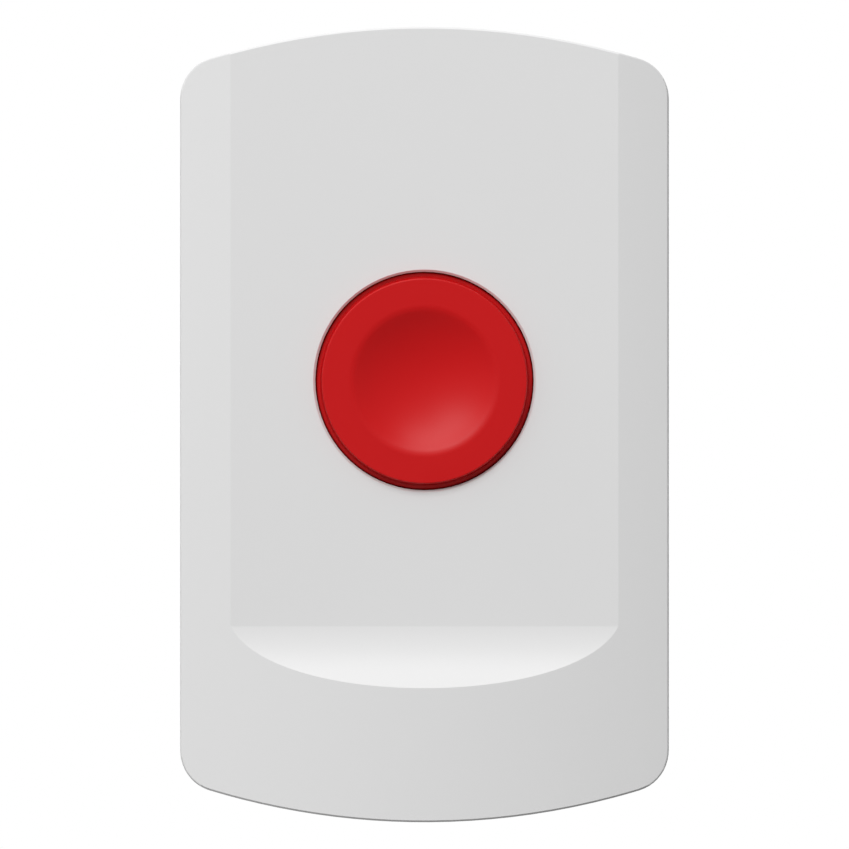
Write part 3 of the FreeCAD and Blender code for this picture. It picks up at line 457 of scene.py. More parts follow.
@dataclass(frozen=True)
class Metal(Finish):
    """Bare or plated metal with fine lines along its grain, and a printed band on the capacitor."""

    stretch: Point = (400.0, 400.0, 4000.0)
    tone: float = 0.2
    spread: float = 0.2
    lines_mm: float = 0.002
    band: Colour | None = None
    band_mm: tuple[float, float] = (0.0, 0.0)

    def build(self) -> bpy.types.Material:
        """Builds the material.

        Returns:
            The material.
        """
        material, graph, shader = self.open()
        colour, bare = opaque(self.colour), 1.0
        if self.band:
            colour, mask = self.banded(graph, self.band, self.band_mm)
            bare = graph.math("SUBTRACT", 1.0, mask)
        lines = graph.effect("drawn_metal", {
            "Colour": colour, "Stretch": self.stretch, "Tone": self.tone,
            "Roughness": self.roughness, "Spread": self.spread}).outputs
        graph.feed(shader, {"Base Color": lines["Colour"], "Metallic": bare,
                            "Roughness": lines["Roughness"],
                            "Normal": graph.relief(lines["Height"], self.lines_mm)})
        return material


@dataclass(frozen=True)
class BoardMask(Finish):
    """Solder mask over glass cloth, and over the copper where it is poured."""

    pour: Colour = (0.02, 0.2, 0.07)
    pour_scale: float = 90.0
    spread: float = 0.1
    weave_mm: float = 0.004

    def build(self) -> bpy.types.Material:
        """Builds the material.

        Returns:
            The material.
        """
        material, graph, shader = self.open()
        cells = graph.noise(graph.position(), self.pour_scale, 0.0)
        colour = graph.mix(graph.ramp(cells, 0.35, 0.65), opaque(self.colour), opaque(self.pour))
        weave = graph.effect("glass_weave", {"Colour": colour}).outputs
        rough = graph.math("MULTIPLY_ADD", cells, self.spread, self.roughness - self.spread / 2)
        graph.feed(shader, {"Base Color": weave["Colour"], "Roughness": rough,
                            "Normal": graph.relief(weave["Height"], self.weave_mm)})
        return material


HOUSING = MouldedPlastic("housing_gloss", (0.832, 0.832, 0.832), roughness=0.3, mirror=0.12,
                         grain_scale=900.0, grain_mm=0.0015, tone=0.012, spread=0.03)
HOUSING_INSIDE = MouldedPlastic("housing_inside", (0.78, 0.78, 0.775), roughness=0.42, mirror=0.25,
                                grain_scale=2500.0, grain_mm=0.004, tone=0.02)
CAP_RED = MouldedPlastic("cap_satin", (0.607, 0.002, 0.0034), roughness=0.38, mirror=0.23,
                         grain_scale=2600.0, grain_mm=0.006, tone=0.05, spread=0.06)
RETAINER = MouldedPlastic("retainer_natural", (0.72, 0.72, 0.7), roughness=0.5)
SWITCH_BLACK = MouldedPlastic("switch_black", (0.025, 0.025, 0.027), roughness=0.45)
HOLDER_BLACK = MouldedPlastic("holder_black", (0.035, 0.035, 0.036), roughness=0.5, grain_mm=0.008)
ACETAL = MouldedPlastic("plunger_acetal", (0.74, 0.71, 0.62), roughness=0.35)
EPOXY = MouldedPlastic("chip_epoxy", (0.022, 0.022, 0.023), roughness=0.55, grain_scale=9000.0,
                       grain_mm=0.006)
DIMPLE = MouldedPlastic("chip_dimple", (0.03, 0.03, 0.03), roughness=0.22)
CERAMIC = MouldedPlastic("fired_ceramic", (0.42, 0.3, 0.19), roughness=0.45, tone=0.2)
GLAZE = MouldedPlastic("resistor_glaze", (0.02, 0.022, 0.03), roughness=0.25)
SLEEVE = ShrunkSleeve("cell_sleeve", (0.05, 0.07, 0.11), roughness=0.28, grain_scale=1200.0, tone=0.06,
                      marks=0.15)
INK_WHITE = Finish("board_ink", (0.75, 0.76, 0.74), roughness=0.6)
# Black of the discs on the screening can: painted shade that stands in for the dark inside of its holes
HOLE_PAINTED_SHADE = Finish("can_holes", (0.012, 0.012, 0.013), roughness=0.7)
ZINC = Metal("zinc_plate", (0.5, 0.51, 0.54), roughness=0.32)
SPRING_WIRE = Metal("spring_wire", (0.42, 0.42, 0.44), roughness=0.28)
TIN = Metal("tinned_sheet", (0.56, 0.56, 0.55), roughness=0.34, stretch=(900.0, 900.0, 900.0))
NICKEL = Metal("nickel_strip", (0.54, 0.52, 0.48), roughness=0.3)
STEEL_COVER = Metal("switch_cover", (0.48, 0.48, 0.49), roughness=0.36, stretch=(300.0, 300.0, 5000.0))
COPPER = Metal("copper_wire", (0.78, 0.4, 0.24), roughness=0.28, stretch=(3000.0, 3000.0, 3000.0))
GOLD_PAD = Metal("gold_pad", (0.83, 0.62, 0.28), roughness=0.3, stretch=(900.0, 900.0, 900.0))
SOLDER = Metal("solder", (0.55, 0.55, 0.56), roughness=0.24, stretch=(700.0, 700.0, 700.0))
ALUMINIUM = Metal("can_aluminium", (0.6, 0.6, 0.62), roughness=0.3, stretch=(4000.0, 500.0, 4000.0),
                  band=(0.02, 0.02, 0.022), band_mm=(19.0, 20.9))
MASK_GREEN = BoardMask("mask_green", (0.012, 0.12, 0.045), roughness=0.28, pour=(0.016, 0.16, 0.058))
MASK_GAP = BoardMask("mask_gap", (0.008, 0.075, 0.03), roughness=0.3, pour=(0.008, 0.08, 0.03))
MASK_TRACK = BoardMask("mask_track", (0.02, 0.2, 0.075), roughness=0.26, pour=(0.022, 0.21, 0.08))
MASK_BLUE = BoardMask("mask_blue", (0.008, 0.035, 0.1), roughness=0.3, pour=(0.01, 0.045, 0.12))
GLASS_EDGE = BoardMask("board_edge", (0.42, 0.4, 0.2), roughness=0.6, pour=(0.36, 0.36, 0.18))

MATERIALS: dict[Finish, bpy.types.Material] = {}


def material_of(finish: Finish) -> bpy.types.Material:
    """Finds the material of a finish, which is built at its first use.

    Args:
        finish: the finish.

    Returns:
        Its material.
    """
    if finish not in MATERIALS:
        MATERIALS[finish] = finish.build()
    return MATERIALS[finish]


# Meshes

def new_object(name: str, mesh: bpy.types.Mesh) -> bpy.types.Object:
    """Puts a mesh into the scene as an object at the origin.

    Args:
        name: the object's name.
        mesh: its mesh.

    Returns:
        The object.
    """
    piece = bpy.data.objects.new(name, mesh)
    bpy.context.scene.collection.objects.link(piece)
    return piece


def plain_mesh(name: str, points: Iterable[Sequence[float]], edges: Iterable[tuple],
               faces: Iterable[Sequence[int]]) -> bpy.types.Mesh:
    """Makes a mesh from lists.

    Args:
        name: the mesh's name.
        points: the place of each point.
        edges: the two points of each loose edge.
        faces: the points of each face.

    Returns:
        The mesh.
    """
    mesh = bpy.data.meshes.new(name)
    mesh.from_pydata([tuple(point) for point in points], list(edges), list(faces))
    return mesh


def shade_by_angle(mesh: bpy.types.Mesh, sharp_deg: float, weld: float = 0.0) -> None:
    """Welds a mesh, turns its faces outwards, smooths them and marks the sharp edges.

    Args:
        mesh: the mesh to work on.
        sharp_deg: edges that turn by more than this stay sharp.
        weld: points nearer than this become one.
    """
    bm = bmesh.new()
    bm.from_mesh(mesh)
    if weld > 0:
        bmesh.ops.remove_doubles(bm, verts=bm.verts, dist=weld)
    bmesh.ops.recalc_face_normals(bm, faces=bm.faces)
    limit = math.radians(sharp_deg)
    for face in bm.faces:
        face.smooth = True
    for edge in bm.edges:
        edge.smooth = edge.calc_face_angle(0.0) < limit
    bm.to_mesh(mesh)
    bm.free()


def applied(piece: bpy.types.Object) -> bpy.types.Mesh:
    """Applies a piece's modifiers.

    Args:
        piece: the piece, which keeps its own mesh and modifiers.

    Returns:
        A new mesh, as the modifiers leave it.
    """
    depsgraph = bpy.context.evaluated_depsgraph_get()
    evaluated = piece.evaluated_get(depsgraph)
    return bpy.data.meshes.new_from_object(evaluated, preserve_all_data_layers=True,
                                           depsgraph=depsgraph)


def weighted(piece: bpy.types.Object) -> bpy.types.Object:
    """Lets the large faces lead the shading, so that narrow bevels read as rounds.

    Args:
        piece: the piece, which gets a new mesh.

    Returns:
        The piece.
    """
    modifier = piece.modifiers.new("weighted_normals", "WEIGHTED_NORMAL")
    modifier.keep_sharp = True
    modifier.weight = 100
    mesh = applied(piece)
    piece.modifiers.clear()
    old = piece.data
    mesh.name = old.name
    piece.data = mesh
    bpy.data.meshes.remove(old)
    return piece


def cad_copy(node: str, name: str, sharp_deg: float = 50.0,
             reshape: Callable[[Vector], Vector] | None = None) -> bpy.types.Object:
    """Copies a CAD node as a closed mesh with smooth shading.

    Args:
        node: the CAD node to copy.
        name: the name of the new piece.
        sharp_deg: edges that turn by more than this stay sharp.
        reshape: gives each point its new place, both in millimetres.

    Returns:
        The new object, which doesn't ride on a body yet.
    """
    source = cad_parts[node].data
    points = [vertex.co for vertex in source.vertices]
    if reshape:
        points = [reshape(point / MM) * MM for point in points]
    mesh = plain_mesh(name, points, [], [list(face.vertices) for face in source.polygons])
    shade_by_angle(mesh, sharp_deg, weld=CAD_WELD * MM)
    return weighted(new_object(name, mesh))


def paint(piece: bpy.types.Object, finish: Finish, *regions: tuple[Finish, Test]) -> None:
    """Gives a piece its finish, and parts of it other ones.

    Args:
        piece: the piece to finish.
        finish: the finish of all faces that no region takes.
        regions: a finish and a test each; the test gets a face's middle in millimetres and its normal.
    """
    mesh = piece.data
    mesh.materials.clear()
    mesh.materials.append(material_of(finish))
    for region_finish, _ in regions:
        mesh.materials.append(material_of(region_finish))
    for face in mesh.polygons:
        middle = face.center / MM
        for index, (_, test) in enumerate(regions, 1):
            if test(middle, face.normal):
                face.material_index = index


def place(piece: bpy.types.Object, body: Body, slot: str, *nodes: str) -> bpy.types.Object:
    """Puts a finished piece on its body and hides the CAD nodes that it stands for.

    Args:
        piece: the piece, with its mesh in place.
        body: the body that it rides on.
        slot: the record's material slot; not used.
        nodes: the CAD nodes that it stands for.

    Returns:
        The piece.
    """
    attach(piece, body.value)
    if nodes:
        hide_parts(*nodes)
    log.info("%s: %d faces, rides on %s", piece.name, len(piece.data.polygons), body.value)
    return piece


def cad_piece(node: str, name: str, body: Body, slot: str, finish: Finish,
              *regions: tuple[Finish, Test], sharp_deg: float = 50.0) -> None:
    """Copies a CAD node, finishes the copy and puts it on its body in the node's place.

    Args:
        node: the CAD node.
        name: the name of the new piece.
        body: the body that it rides on.
        slot: the record's material slot; not used.
        finish: the finish of all faces that no region takes.
        regions: the other finishes, as paint takes them.
        sharp_deg: edges that turn by more than this stay sharp.
    """
    piece = cad_copy(node, name, sharp_deg)
    paint(piece, finish, *regions)
    place(piece, body, slot, node)


# Geometry Nodes

def grown(name: str, host: bpy.types.Mesh, tree: bpy.types.NodeTree, values: dict,
          facing: Facing, sharp_deg: float = 50.0) -> bpy.types.Object:
    """Runs a tree on a host mesh and keeps the result as a plain mesh.

    Args:
        name: the name of the new piece.
        host: the mesh that the tree starts from, in the face's own frame.
        tree: the Geometry Nodes tree.
        values: the tree's inputs by name.
        facing: the face that the piece lies on.
        sharp_deg: edges that turn by more than this stay sharp.

    Returns:
        The new object, with its mesh in place.
    """
    carrier = new_object(name + "_host", host)
    modifier = carrier.modifiers.new(name, "NODES")
    modifier.node_group = tree
    identifiers = {item.name: item.identifier for item in tree.interface.items_tree
                   if item.item_type == "SOCKET" and item.in_out == "INPUT"}
    for label, value in values.items():
        modifier[identifiers[label]] = value
    mesh = applied(carrier)
    mesh.name = name
    carrier.modifiers.clear()
    bpy.data.objects.remove(carrier)
    mesh.transform(facing.matrix())
    shade_by_angle(mesh, sharp_deg)
    return new_object(name, mesh)


def seats_mesh(name: str, seats: Sequence[Point], sizes: Sequence[Point] = ()) -> bpy.types.Mesh:
    """Points that carry the copies of a repeated shape.

    Args:
        name: the mesh's name.
        seats: the places, in the face's own frame.
        sizes: the scale of each copy, or nothing for copies as drawn.

    Returns:
        A mesh of loose points with a size each.
    """
    mesh = plain_mesh(name, seats, [], [])
    attribute = mesh.attributes.new("size", "FLOAT_VECTOR", "POINT")
    for item, size in zip(attribute.data, sizes or [(1.0, 1.0, 1.0)] * len(seats)):
        item.vector = size
    return mesh


class Trees:
    """The Geometry Nodes trees, each built at its first use."""

    built: dict[str, bpy.types.NodeTree] = {}

    @classmethod
    def get(cls, name: str) -> bpy.types.NodeTree:
        """Finds a tree, which is built at its first use.

        Args:
            name: the name of the tree and of the method that builds it.

        Returns:
            The tree.
        """
        if name not in cls.built:
            cls.built[name] = getattr(cls, name)()
        return cls.built[name]

    @staticmethod
    def start(name: str, inputs: Sequence[tuple]) -> tuple:
        """Opens a tree that takes a host mesh and a finish besides its own inputs.

        Args:
            name: the tree's name.
            inputs: name, socket type and default of each input of its own.

        Returns:
            The tree's graph, the sockets that give its inputs, by name, and its output node.
        """
        return open_group(name, "GeometryNodeTree",
                          [("Geometry", "NodeSocketGeometry"), *inputs,
                           ("Finish", "NodeSocketMaterial")],
                          [("Geometry", "NodeSocketGeometry")])

    @staticmethod
    def end(graph: Graph, finish: Socket, sink: bpy.types.Node, result: Socket) -> bpy.types.NodeTree:
        """Ends a tree in plain geometry with its finish.

        Args:
            graph: the tree's graph.
            finish: the socket that gives the finish.
            sink: the tree's output node.
            result: the geometry.

        Returns:
            The finished tree.
        """
        real = graph.add("GeometryNodeRealizeInstances", {0: result})
        dressed = graph.add("GeometryNodeSetMaterial", {"Geometry": real.outputs[0], "Material": finish})
        graph.feed(sink, {"Geometry": dressed.outputs[0]})
        return graph.tree

    @staticmethod
    def sweep(graph: Graph, path: Socket, section: Socket, caps: bool = True) -> Socket:
        """Draws a section along a path.

        Args:
            graph: the tree's graph.
            path: the curve to follow.
            section: the curve of the section.
            caps: whether the ends are closed.

        Returns:
            The swept mesh.
        """
        inputs = {0: path, "Profile Curve": section, "Fill Caps": caps}
        return graph.add("GeometryNodeCurveToMesh", inputs).outputs[0]

    @staticmethod
    def spin(graph: Graph, profile: Socket, segments: object) -> Socket:
        """Turns a half section about the Z axis.

        Args:
            graph: the tree's graph.
            profile: lines in the XY plane, X the radius and Y the height.
            segments: how many steps make a full turn.

        Returns:
            The turned, closed mesh.
        """
        circle = graph.add("GeometryNodeCurvePrimitiveCircle",
                           {"Resolution": segments, "Radius": 1.0}, mode="RADIUS")
        level = graph.add("GeometryNodeSetCurveNormal", {0: circle.outputs[0]}, mode="Z_UP")
        curve = graph.add("GeometryNodeMeshToCurve", {0: profile})
        # The sweep adds the circle's radius of 1 and turns the height over, so both are undone first
        shifted = graph.add("GeometryNodeTransform", {
            0: curve.outputs[0], "Translation": (-1.0, 0.0, 0.0), "Scale": (1.0, -1.0, 1.0)})
        swept = Trees.sweep(graph, level.outputs[0], shifted.outputs[0], caps=False)
        closed = graph.add("GeometryNodeMergeByDistance", {0: swept, "Distance": 0.0005})
        return closed.outputs[0]

    @staticmethod
    def on_seats(graph: Graph, seats: Socket, shape: Socket, turn_seed: object = 0,
                 turn: float = 0.0) -> Socket:
        """Puts a copy of a shape on each seat.

        Args:
            graph: the tree's graph.
            seats: the object whose points are the seats.
            shape: the geometry to copy.
            turn_seed: seed of the turn about each seat's own axis.
            turn: the largest turn, in radians.

        Returns:
            The instances.
        """
        info = graph.add("GeometryNodeObjectInfo", {"Object": seats})
        points = graph.add("GeometryNodeMeshToPoints", {0: info.outputs["Geometry"]})
        size = graph.add("GeometryNodeInputNamedAttribute", {"Name": "size"},
                         data_type="FLOAT_VECTOR")
        angle = graph.add("FunctionNodeRandomValue", {"Min": 0.0, "Max": turn, "Seed": turn_seed},
                          data_type="FLOAT")
        spin = graph.add("ShaderNodeCombineXYZ", {"Z": angle.outputs[1]})
        copies = graph.add("GeometryNodeInstanceOnPoints", {
            "Points": points.outputs[0], "Instance": shape, "Rotation": spin.outputs[0],
            "Scale": size.outputs[0]})
        return copies.outputs[0]

    @staticmethod
    def lathe() -> bpy.types.NodeTree:
        """Builds the tree of a turned part: the host is its half section.

        Returns:
            The tree.
        """
        graph, given, sink = Trees.start("lathe", [("Segments", "NodeSocketInt", 96)])
        turned = Trees.spin(graph, given["Geometry"], given["Segments"])
        return Trees.end(graph, given["Finish"], sink, turned)

    @staticmethod
    def turned_array() -> bpy.types.NodeTree:
        """Builds the tree of many equal turned parts: the host is the half section, the seats say where.

        Returns:
            The tree.
        """
        graph, given, sink = Trees.start(
            "turned_array", [("Seats", "NodeSocketObject"), ("Segments", "NodeSocketInt", 24)])
        turned = Trees.spin(graph, given["Geometry"], given["Segments"])
        copies = Trees.on_seats(graph, given["Seats"], turned)
        return Trees.end(graph, given["Finish"], sink, copies)

    @staticmethod
    def shape_array() -> bpy.types.NodeTree:
        """Builds the tree that puts a copy of the host mesh on each seat.

        Returns:
            The tree.
        """
        graph, given, sink = Trees.start("shape_array", [("Seats", "NodeSocketObject")])
        copies = Trees.on_seats(graph, given["Seats"], given["Geometry"])
        return Trees.end(graph, given["Finish"], sink, copies)

    @staticmethod
    def ribbons() -> bpy.types.NodeTree:
        """Builds the tree of flat strips with rounded corners, along the lines of the host mesh.

        Returns:
            The tree.
        """
        graph, given, sink = Trees.start(
            "ribbons", [("Width", "NodeSocketFloat", 0.4), ("Height", "NodeSocketFloat", 0.05),
                        ("Corner", "NodeSocketFloat", 0.4)])
        curve = graph.add("GeometryNodeMeshToCurve", {0: given["Geometry"]})
        soft = graph.add("GeometryNodeFilletCurve",
                         {0: curve.outputs[0], "Count": 3, "Radius": given["Corner"],
                          "Limit Radius": True}, mode="POLY")
        level = graph.add("GeometryNodeSetCurveNormal", {0: soft.outputs[0]}, mode="Z_UP")
        section = graph.add("GeometryNodeCurvePrimitiveQuadrilateral",
                            {"Width": given["Width"], "Height": given["Height"]})
        strip = Trees.sweep(graph, level.outputs[0], section.outputs[0])
        return Trees.end(graph, given["Finish"], sink, strip)

    @staticmethod
    def coil() -> bpy.types.NodeTree:
        """Builds the tree of a compression spring with a closed turn at each end.

        The host is a line of points, as many as the wire has steps.

        Returns:
            The tree.
        """
        graph, given, sink = Trees.start(
            "coil", [("Mean Radius", "NodeSocketFloat", 3.6), ("Wire Radius", "NodeSocketFloat", 0.3),
                     ("Length", "NodeSocketFloat", 8.0), ("Turns", "NodeSocketFloat", 5.5)])
        curve = graph.add("GeometryNodeMeshToCurve", {0: given["Geometry"]})
        share = graph.add("GeometryNodeSplineParameter").outputs["Factor"]
        turned = graph.math("MULTIPLY", share, given["Turns"])
        angle = graph.math("MULTIPLY", turned, 2.0 * math.pi)
        wire = graph.math("MULTIPLY", given["Wire Radius"], 2.0)
        last = graph.math("SUBTRACT", given["Turns"], 1.0)
        # Each closed turn rises by one wire, and the wire's own thickness takes a third off the length
        open_rise = graph.math("SUBTRACT", given["Length"], graph.math("MULTIPLY", wire, 3.0))
        rise = graph.math("ADD", graph.ramp(turned, 0.0, 1.0, wire),
                          graph.ramp(turned, 1.0, last, open_rise))
        rise = graph.math("ADD", rise, graph.ramp(turned, last, given["Turns"], wire))
        spot = graph.add("ShaderNodeCombineXYZ", {
            "X": graph.math("MULTIPLY", given["Mean Radius"], graph.math("COSINE", angle)),
            "Y": graph.math("MULTIPLY", given["Mean Radius"], graph.math("SINE", angle)),
            "Z": graph.math("ADD", rise, given["Wire Radius"])})
        moved = graph.add("GeometryNodeSetPosition",
                          {"Geometry": curve.outputs[0], "Position": spot.outputs[0]})
        section = graph.add("GeometryNodeCurvePrimitiveCircle",
                            {"Resolution": 12, "Radius": given["Wire Radius"]}, mode="RADIUS")
        spring = Trees.sweep(graph, moved.outputs[0], section.outputs[0])
        return Trees.end(graph, given["Finish"], sink, spring)

    @staticmethod
    def screws() -> bpy.types.NodeTree:
        """Builds the tree of pan-head screws: it adds cross recess and thread to the host's half section.

        Returns:
            The tree.
        """
        graph, given, sink = Trees.start(
            "screws", [("Seats", "NodeSocketObject"), ("Head Height", "NodeSocketFloat", 1.4),
                       ("Recess Reach", "NodeSocketFloat", 1.3), ("Recess Core", "NodeSocketFloat", 0.36),
                       ("Recess Depth", "NodeSocketFloat", 0.8), ("Shank Radius", "NodeSocketFloat", 0.9),
                       ("Thread Length", "NodeSocketFloat", 4.0), ("Pitch", "NodeSocketFloat", 0.7),
                       ("Ridge", "NodeSocketFloat", 0.16), ("Seed", "NodeSocketInt", 1)])
        body = Trees.spin(graph, given["Geometry"], 32)
        height = given["Head Height"]
        low = graph.add("ShaderNodeCombineXYZ",
                        {"Z": graph.math("SUBTRACT", height, given["Recess Depth"])})
        high = graph.add("ShaderNodeCombineXYZ", {"Z": graph.math("ADD", height, 0.5)})
        axis = graph.add("GeometryNodeCurvePrimitiveLine", {0: low.outputs[0], 1: high.outputs[0]})
        star = graph.add("GeometryNodeCurveStar", {
            "Points": 4, "Inner Radius": given["Recess Core"], "Outer Radius": given["Recess Reach"]})
        punch = Trees.sweep(graph, axis.outputs[0], star.outputs[0])
        cut = graph.add("GeometryNodeMeshBoolean", {"Mesh 1": body, "Mesh 2": punch},
                        operation="DIFFERENCE")
        length = given["Thread Length"]
        helix = graph.add("GeometryNodeCurveSpiral", {
            "Resolution": 20, "Rotations": graph.math("DIVIDE", length, given["Pitch"]),
            "Start Radius": given["Shank Radius"], "End Radius": given["Shank Radius"],
            "Height": length})
        # The thread ends 0.12 of its length below the head
        down = graph.add("ShaderNodeCombineXYZ", {"Z": graph.math("MULTIPLY", length, -1.12)})
        lowered = graph.add("GeometryNodeTransform",
                            {0: helix.outputs[0], "Translation": down.outputs[0]})
        ridge = graph.add("GeometryNodeCurvePrimitiveCircle",
                          {"Resolution": 4, "Radius": given["Ridge"]}, mode="RADIUS")
        thread = Trees.sweep(graph, lowered.outputs[0], ridge.outputs[0])
        whole = graph.add("GeometryNodeJoinGeometry", {0: cut.outputs[0]})
        graph.feed(whole, {0: thread})
        copies = Trees.on_seats(graph, given["Seats"], whole.outputs[0], given["Seed"], math.pi / 2)
        return Trees.end(graph, given["Finish"], sink, copies)


def arrayed(name: str, tree_name: str, host: bpy.types.Mesh, seats: bpy.types.Mesh, finish: Finish,
            facing: Facing, values: dict | None = None, sharp_deg: float = 50.0) -> bpy.types.Object:
    """Grows copies of a shape on seats.

    Args:
        name: the name of the new piece.
        tree_name: the tree to use.
        host: the shape or its half section.
        seats: the places, from seats_mesh.
        finish: the finish of the copies.
        facing: the face that they lie on.
        values: more inputs of the tree.
        sharp_deg: edges that turn by more than this stay sharp.

    Returns:
        The new object.
    """
    carrier = new_object(name + "_seats", seats)
    inputs = {"Seats": carrier, "Finish": material_of(finish), **(values or {})}
    piece = grown(name, host, Trees.get(tree_name), inputs, facing, sharp_deg)
    bpy.data.objects.remove(carrier)
    return piece


def turned_copies(name: str, section: Sequence[Place], spots: Iterable[Point], finish: Finish,
                  body: Body, slot: str, facing: Facing, segments: int) -> None:
    """Sets equal turned parts on a face, such as rings and dots, and puts them on their body.

    Args:
        name: the name of the piece.
        section: radius and height pairs of the half section.
        spots: the middle of each part's seat, in the object's frame.
        finish: the finish of the parts.
        body: the body that they ride on.
        slot: the record's material slot; not used.
        facing: the face that they lie on.
        segments: how many steps make a full turn.
    """
    seats = seats_mesh(name + "_seats", [facing.local(*spot) for spot in spots])
    piece = arrayed(name, "turned_array", half_section(name, section), seats, finish, facing,
                    {"Segments": segments})
    place(piece, body, slot)


def polyline(name: str, lines: Sequence[Sequence[Sequence[float]]], out: float = 0.0) -> bpy.types.Mesh:
    """Makes a mesh of lines at one height.

    Args:
        name: the mesh's name.
        lines: the points of each line; a line that ends where it began is closed.
        out: the height out of the face.

    Returns:
        The mesh, which has no faces.
    """
    points, edges = [], []
    for line in lines:
        first = len(points)
        closed = tuple(line[0]) == tuple(line[-1]) and len(line) > 2
        kept = line[:-1] if closed else line
        points += [(*point, out) for point in kept]
        edges += [(first + i, first + i + 1) for i in range(len(kept) - 1)]
        if closed:
            edges.append((first + len(kept) - 1, first))
    return plain_mesh(name, points, edges, [])


def half_section(name: str, points: Sequence[Place]) -> bpy.types.Mesh:
    """Half section for the lathe, from radius and height pairs."""
    return polyline(name, [list(points)])


def ring_section(inner: float, outer: float, low: float, high: float) -> list[Place]:
    """Half section of a flat ring, from its two radii and two heights."""
    return [(inner, low), (inner, high), (outer, high), (outer, low), (inner, low)]


def soft_box(name: str, size: Point, bevel: float) -> bpy.types.Mesh:
    """Box on the ground plane with rounded upper edges, as solder pads and blocks have.

    Args:
        name: the mesh's name.
        size: width, height and rise out of the face.
        bevel: radius of the rounding.

    Returns:
        The mesh, centred on its seat.
    """
    bm = bmesh.new()
    bmesh.ops.create_cube(bm, size=1.0)
    for vertex in bm.verts:
        vertex.co = Vector((vertex.co.x * size[0], vertex.co.y * size[1], (vertex.co.z + 0.5) * size[2]))
    upper = [edge for edge in bm.edges if any(vertex.co.z > 0 for vertex in edge.verts)]
    bmesh.ops.bevel(bm, geom=upper, offset=bevel, segments=2, profile=0.5, affect="EDGES")
    mesh = bpy.data.meshes.new(name)
    bm.to_mesh(mesh)
    bm.free()
    return mesh


# Housing

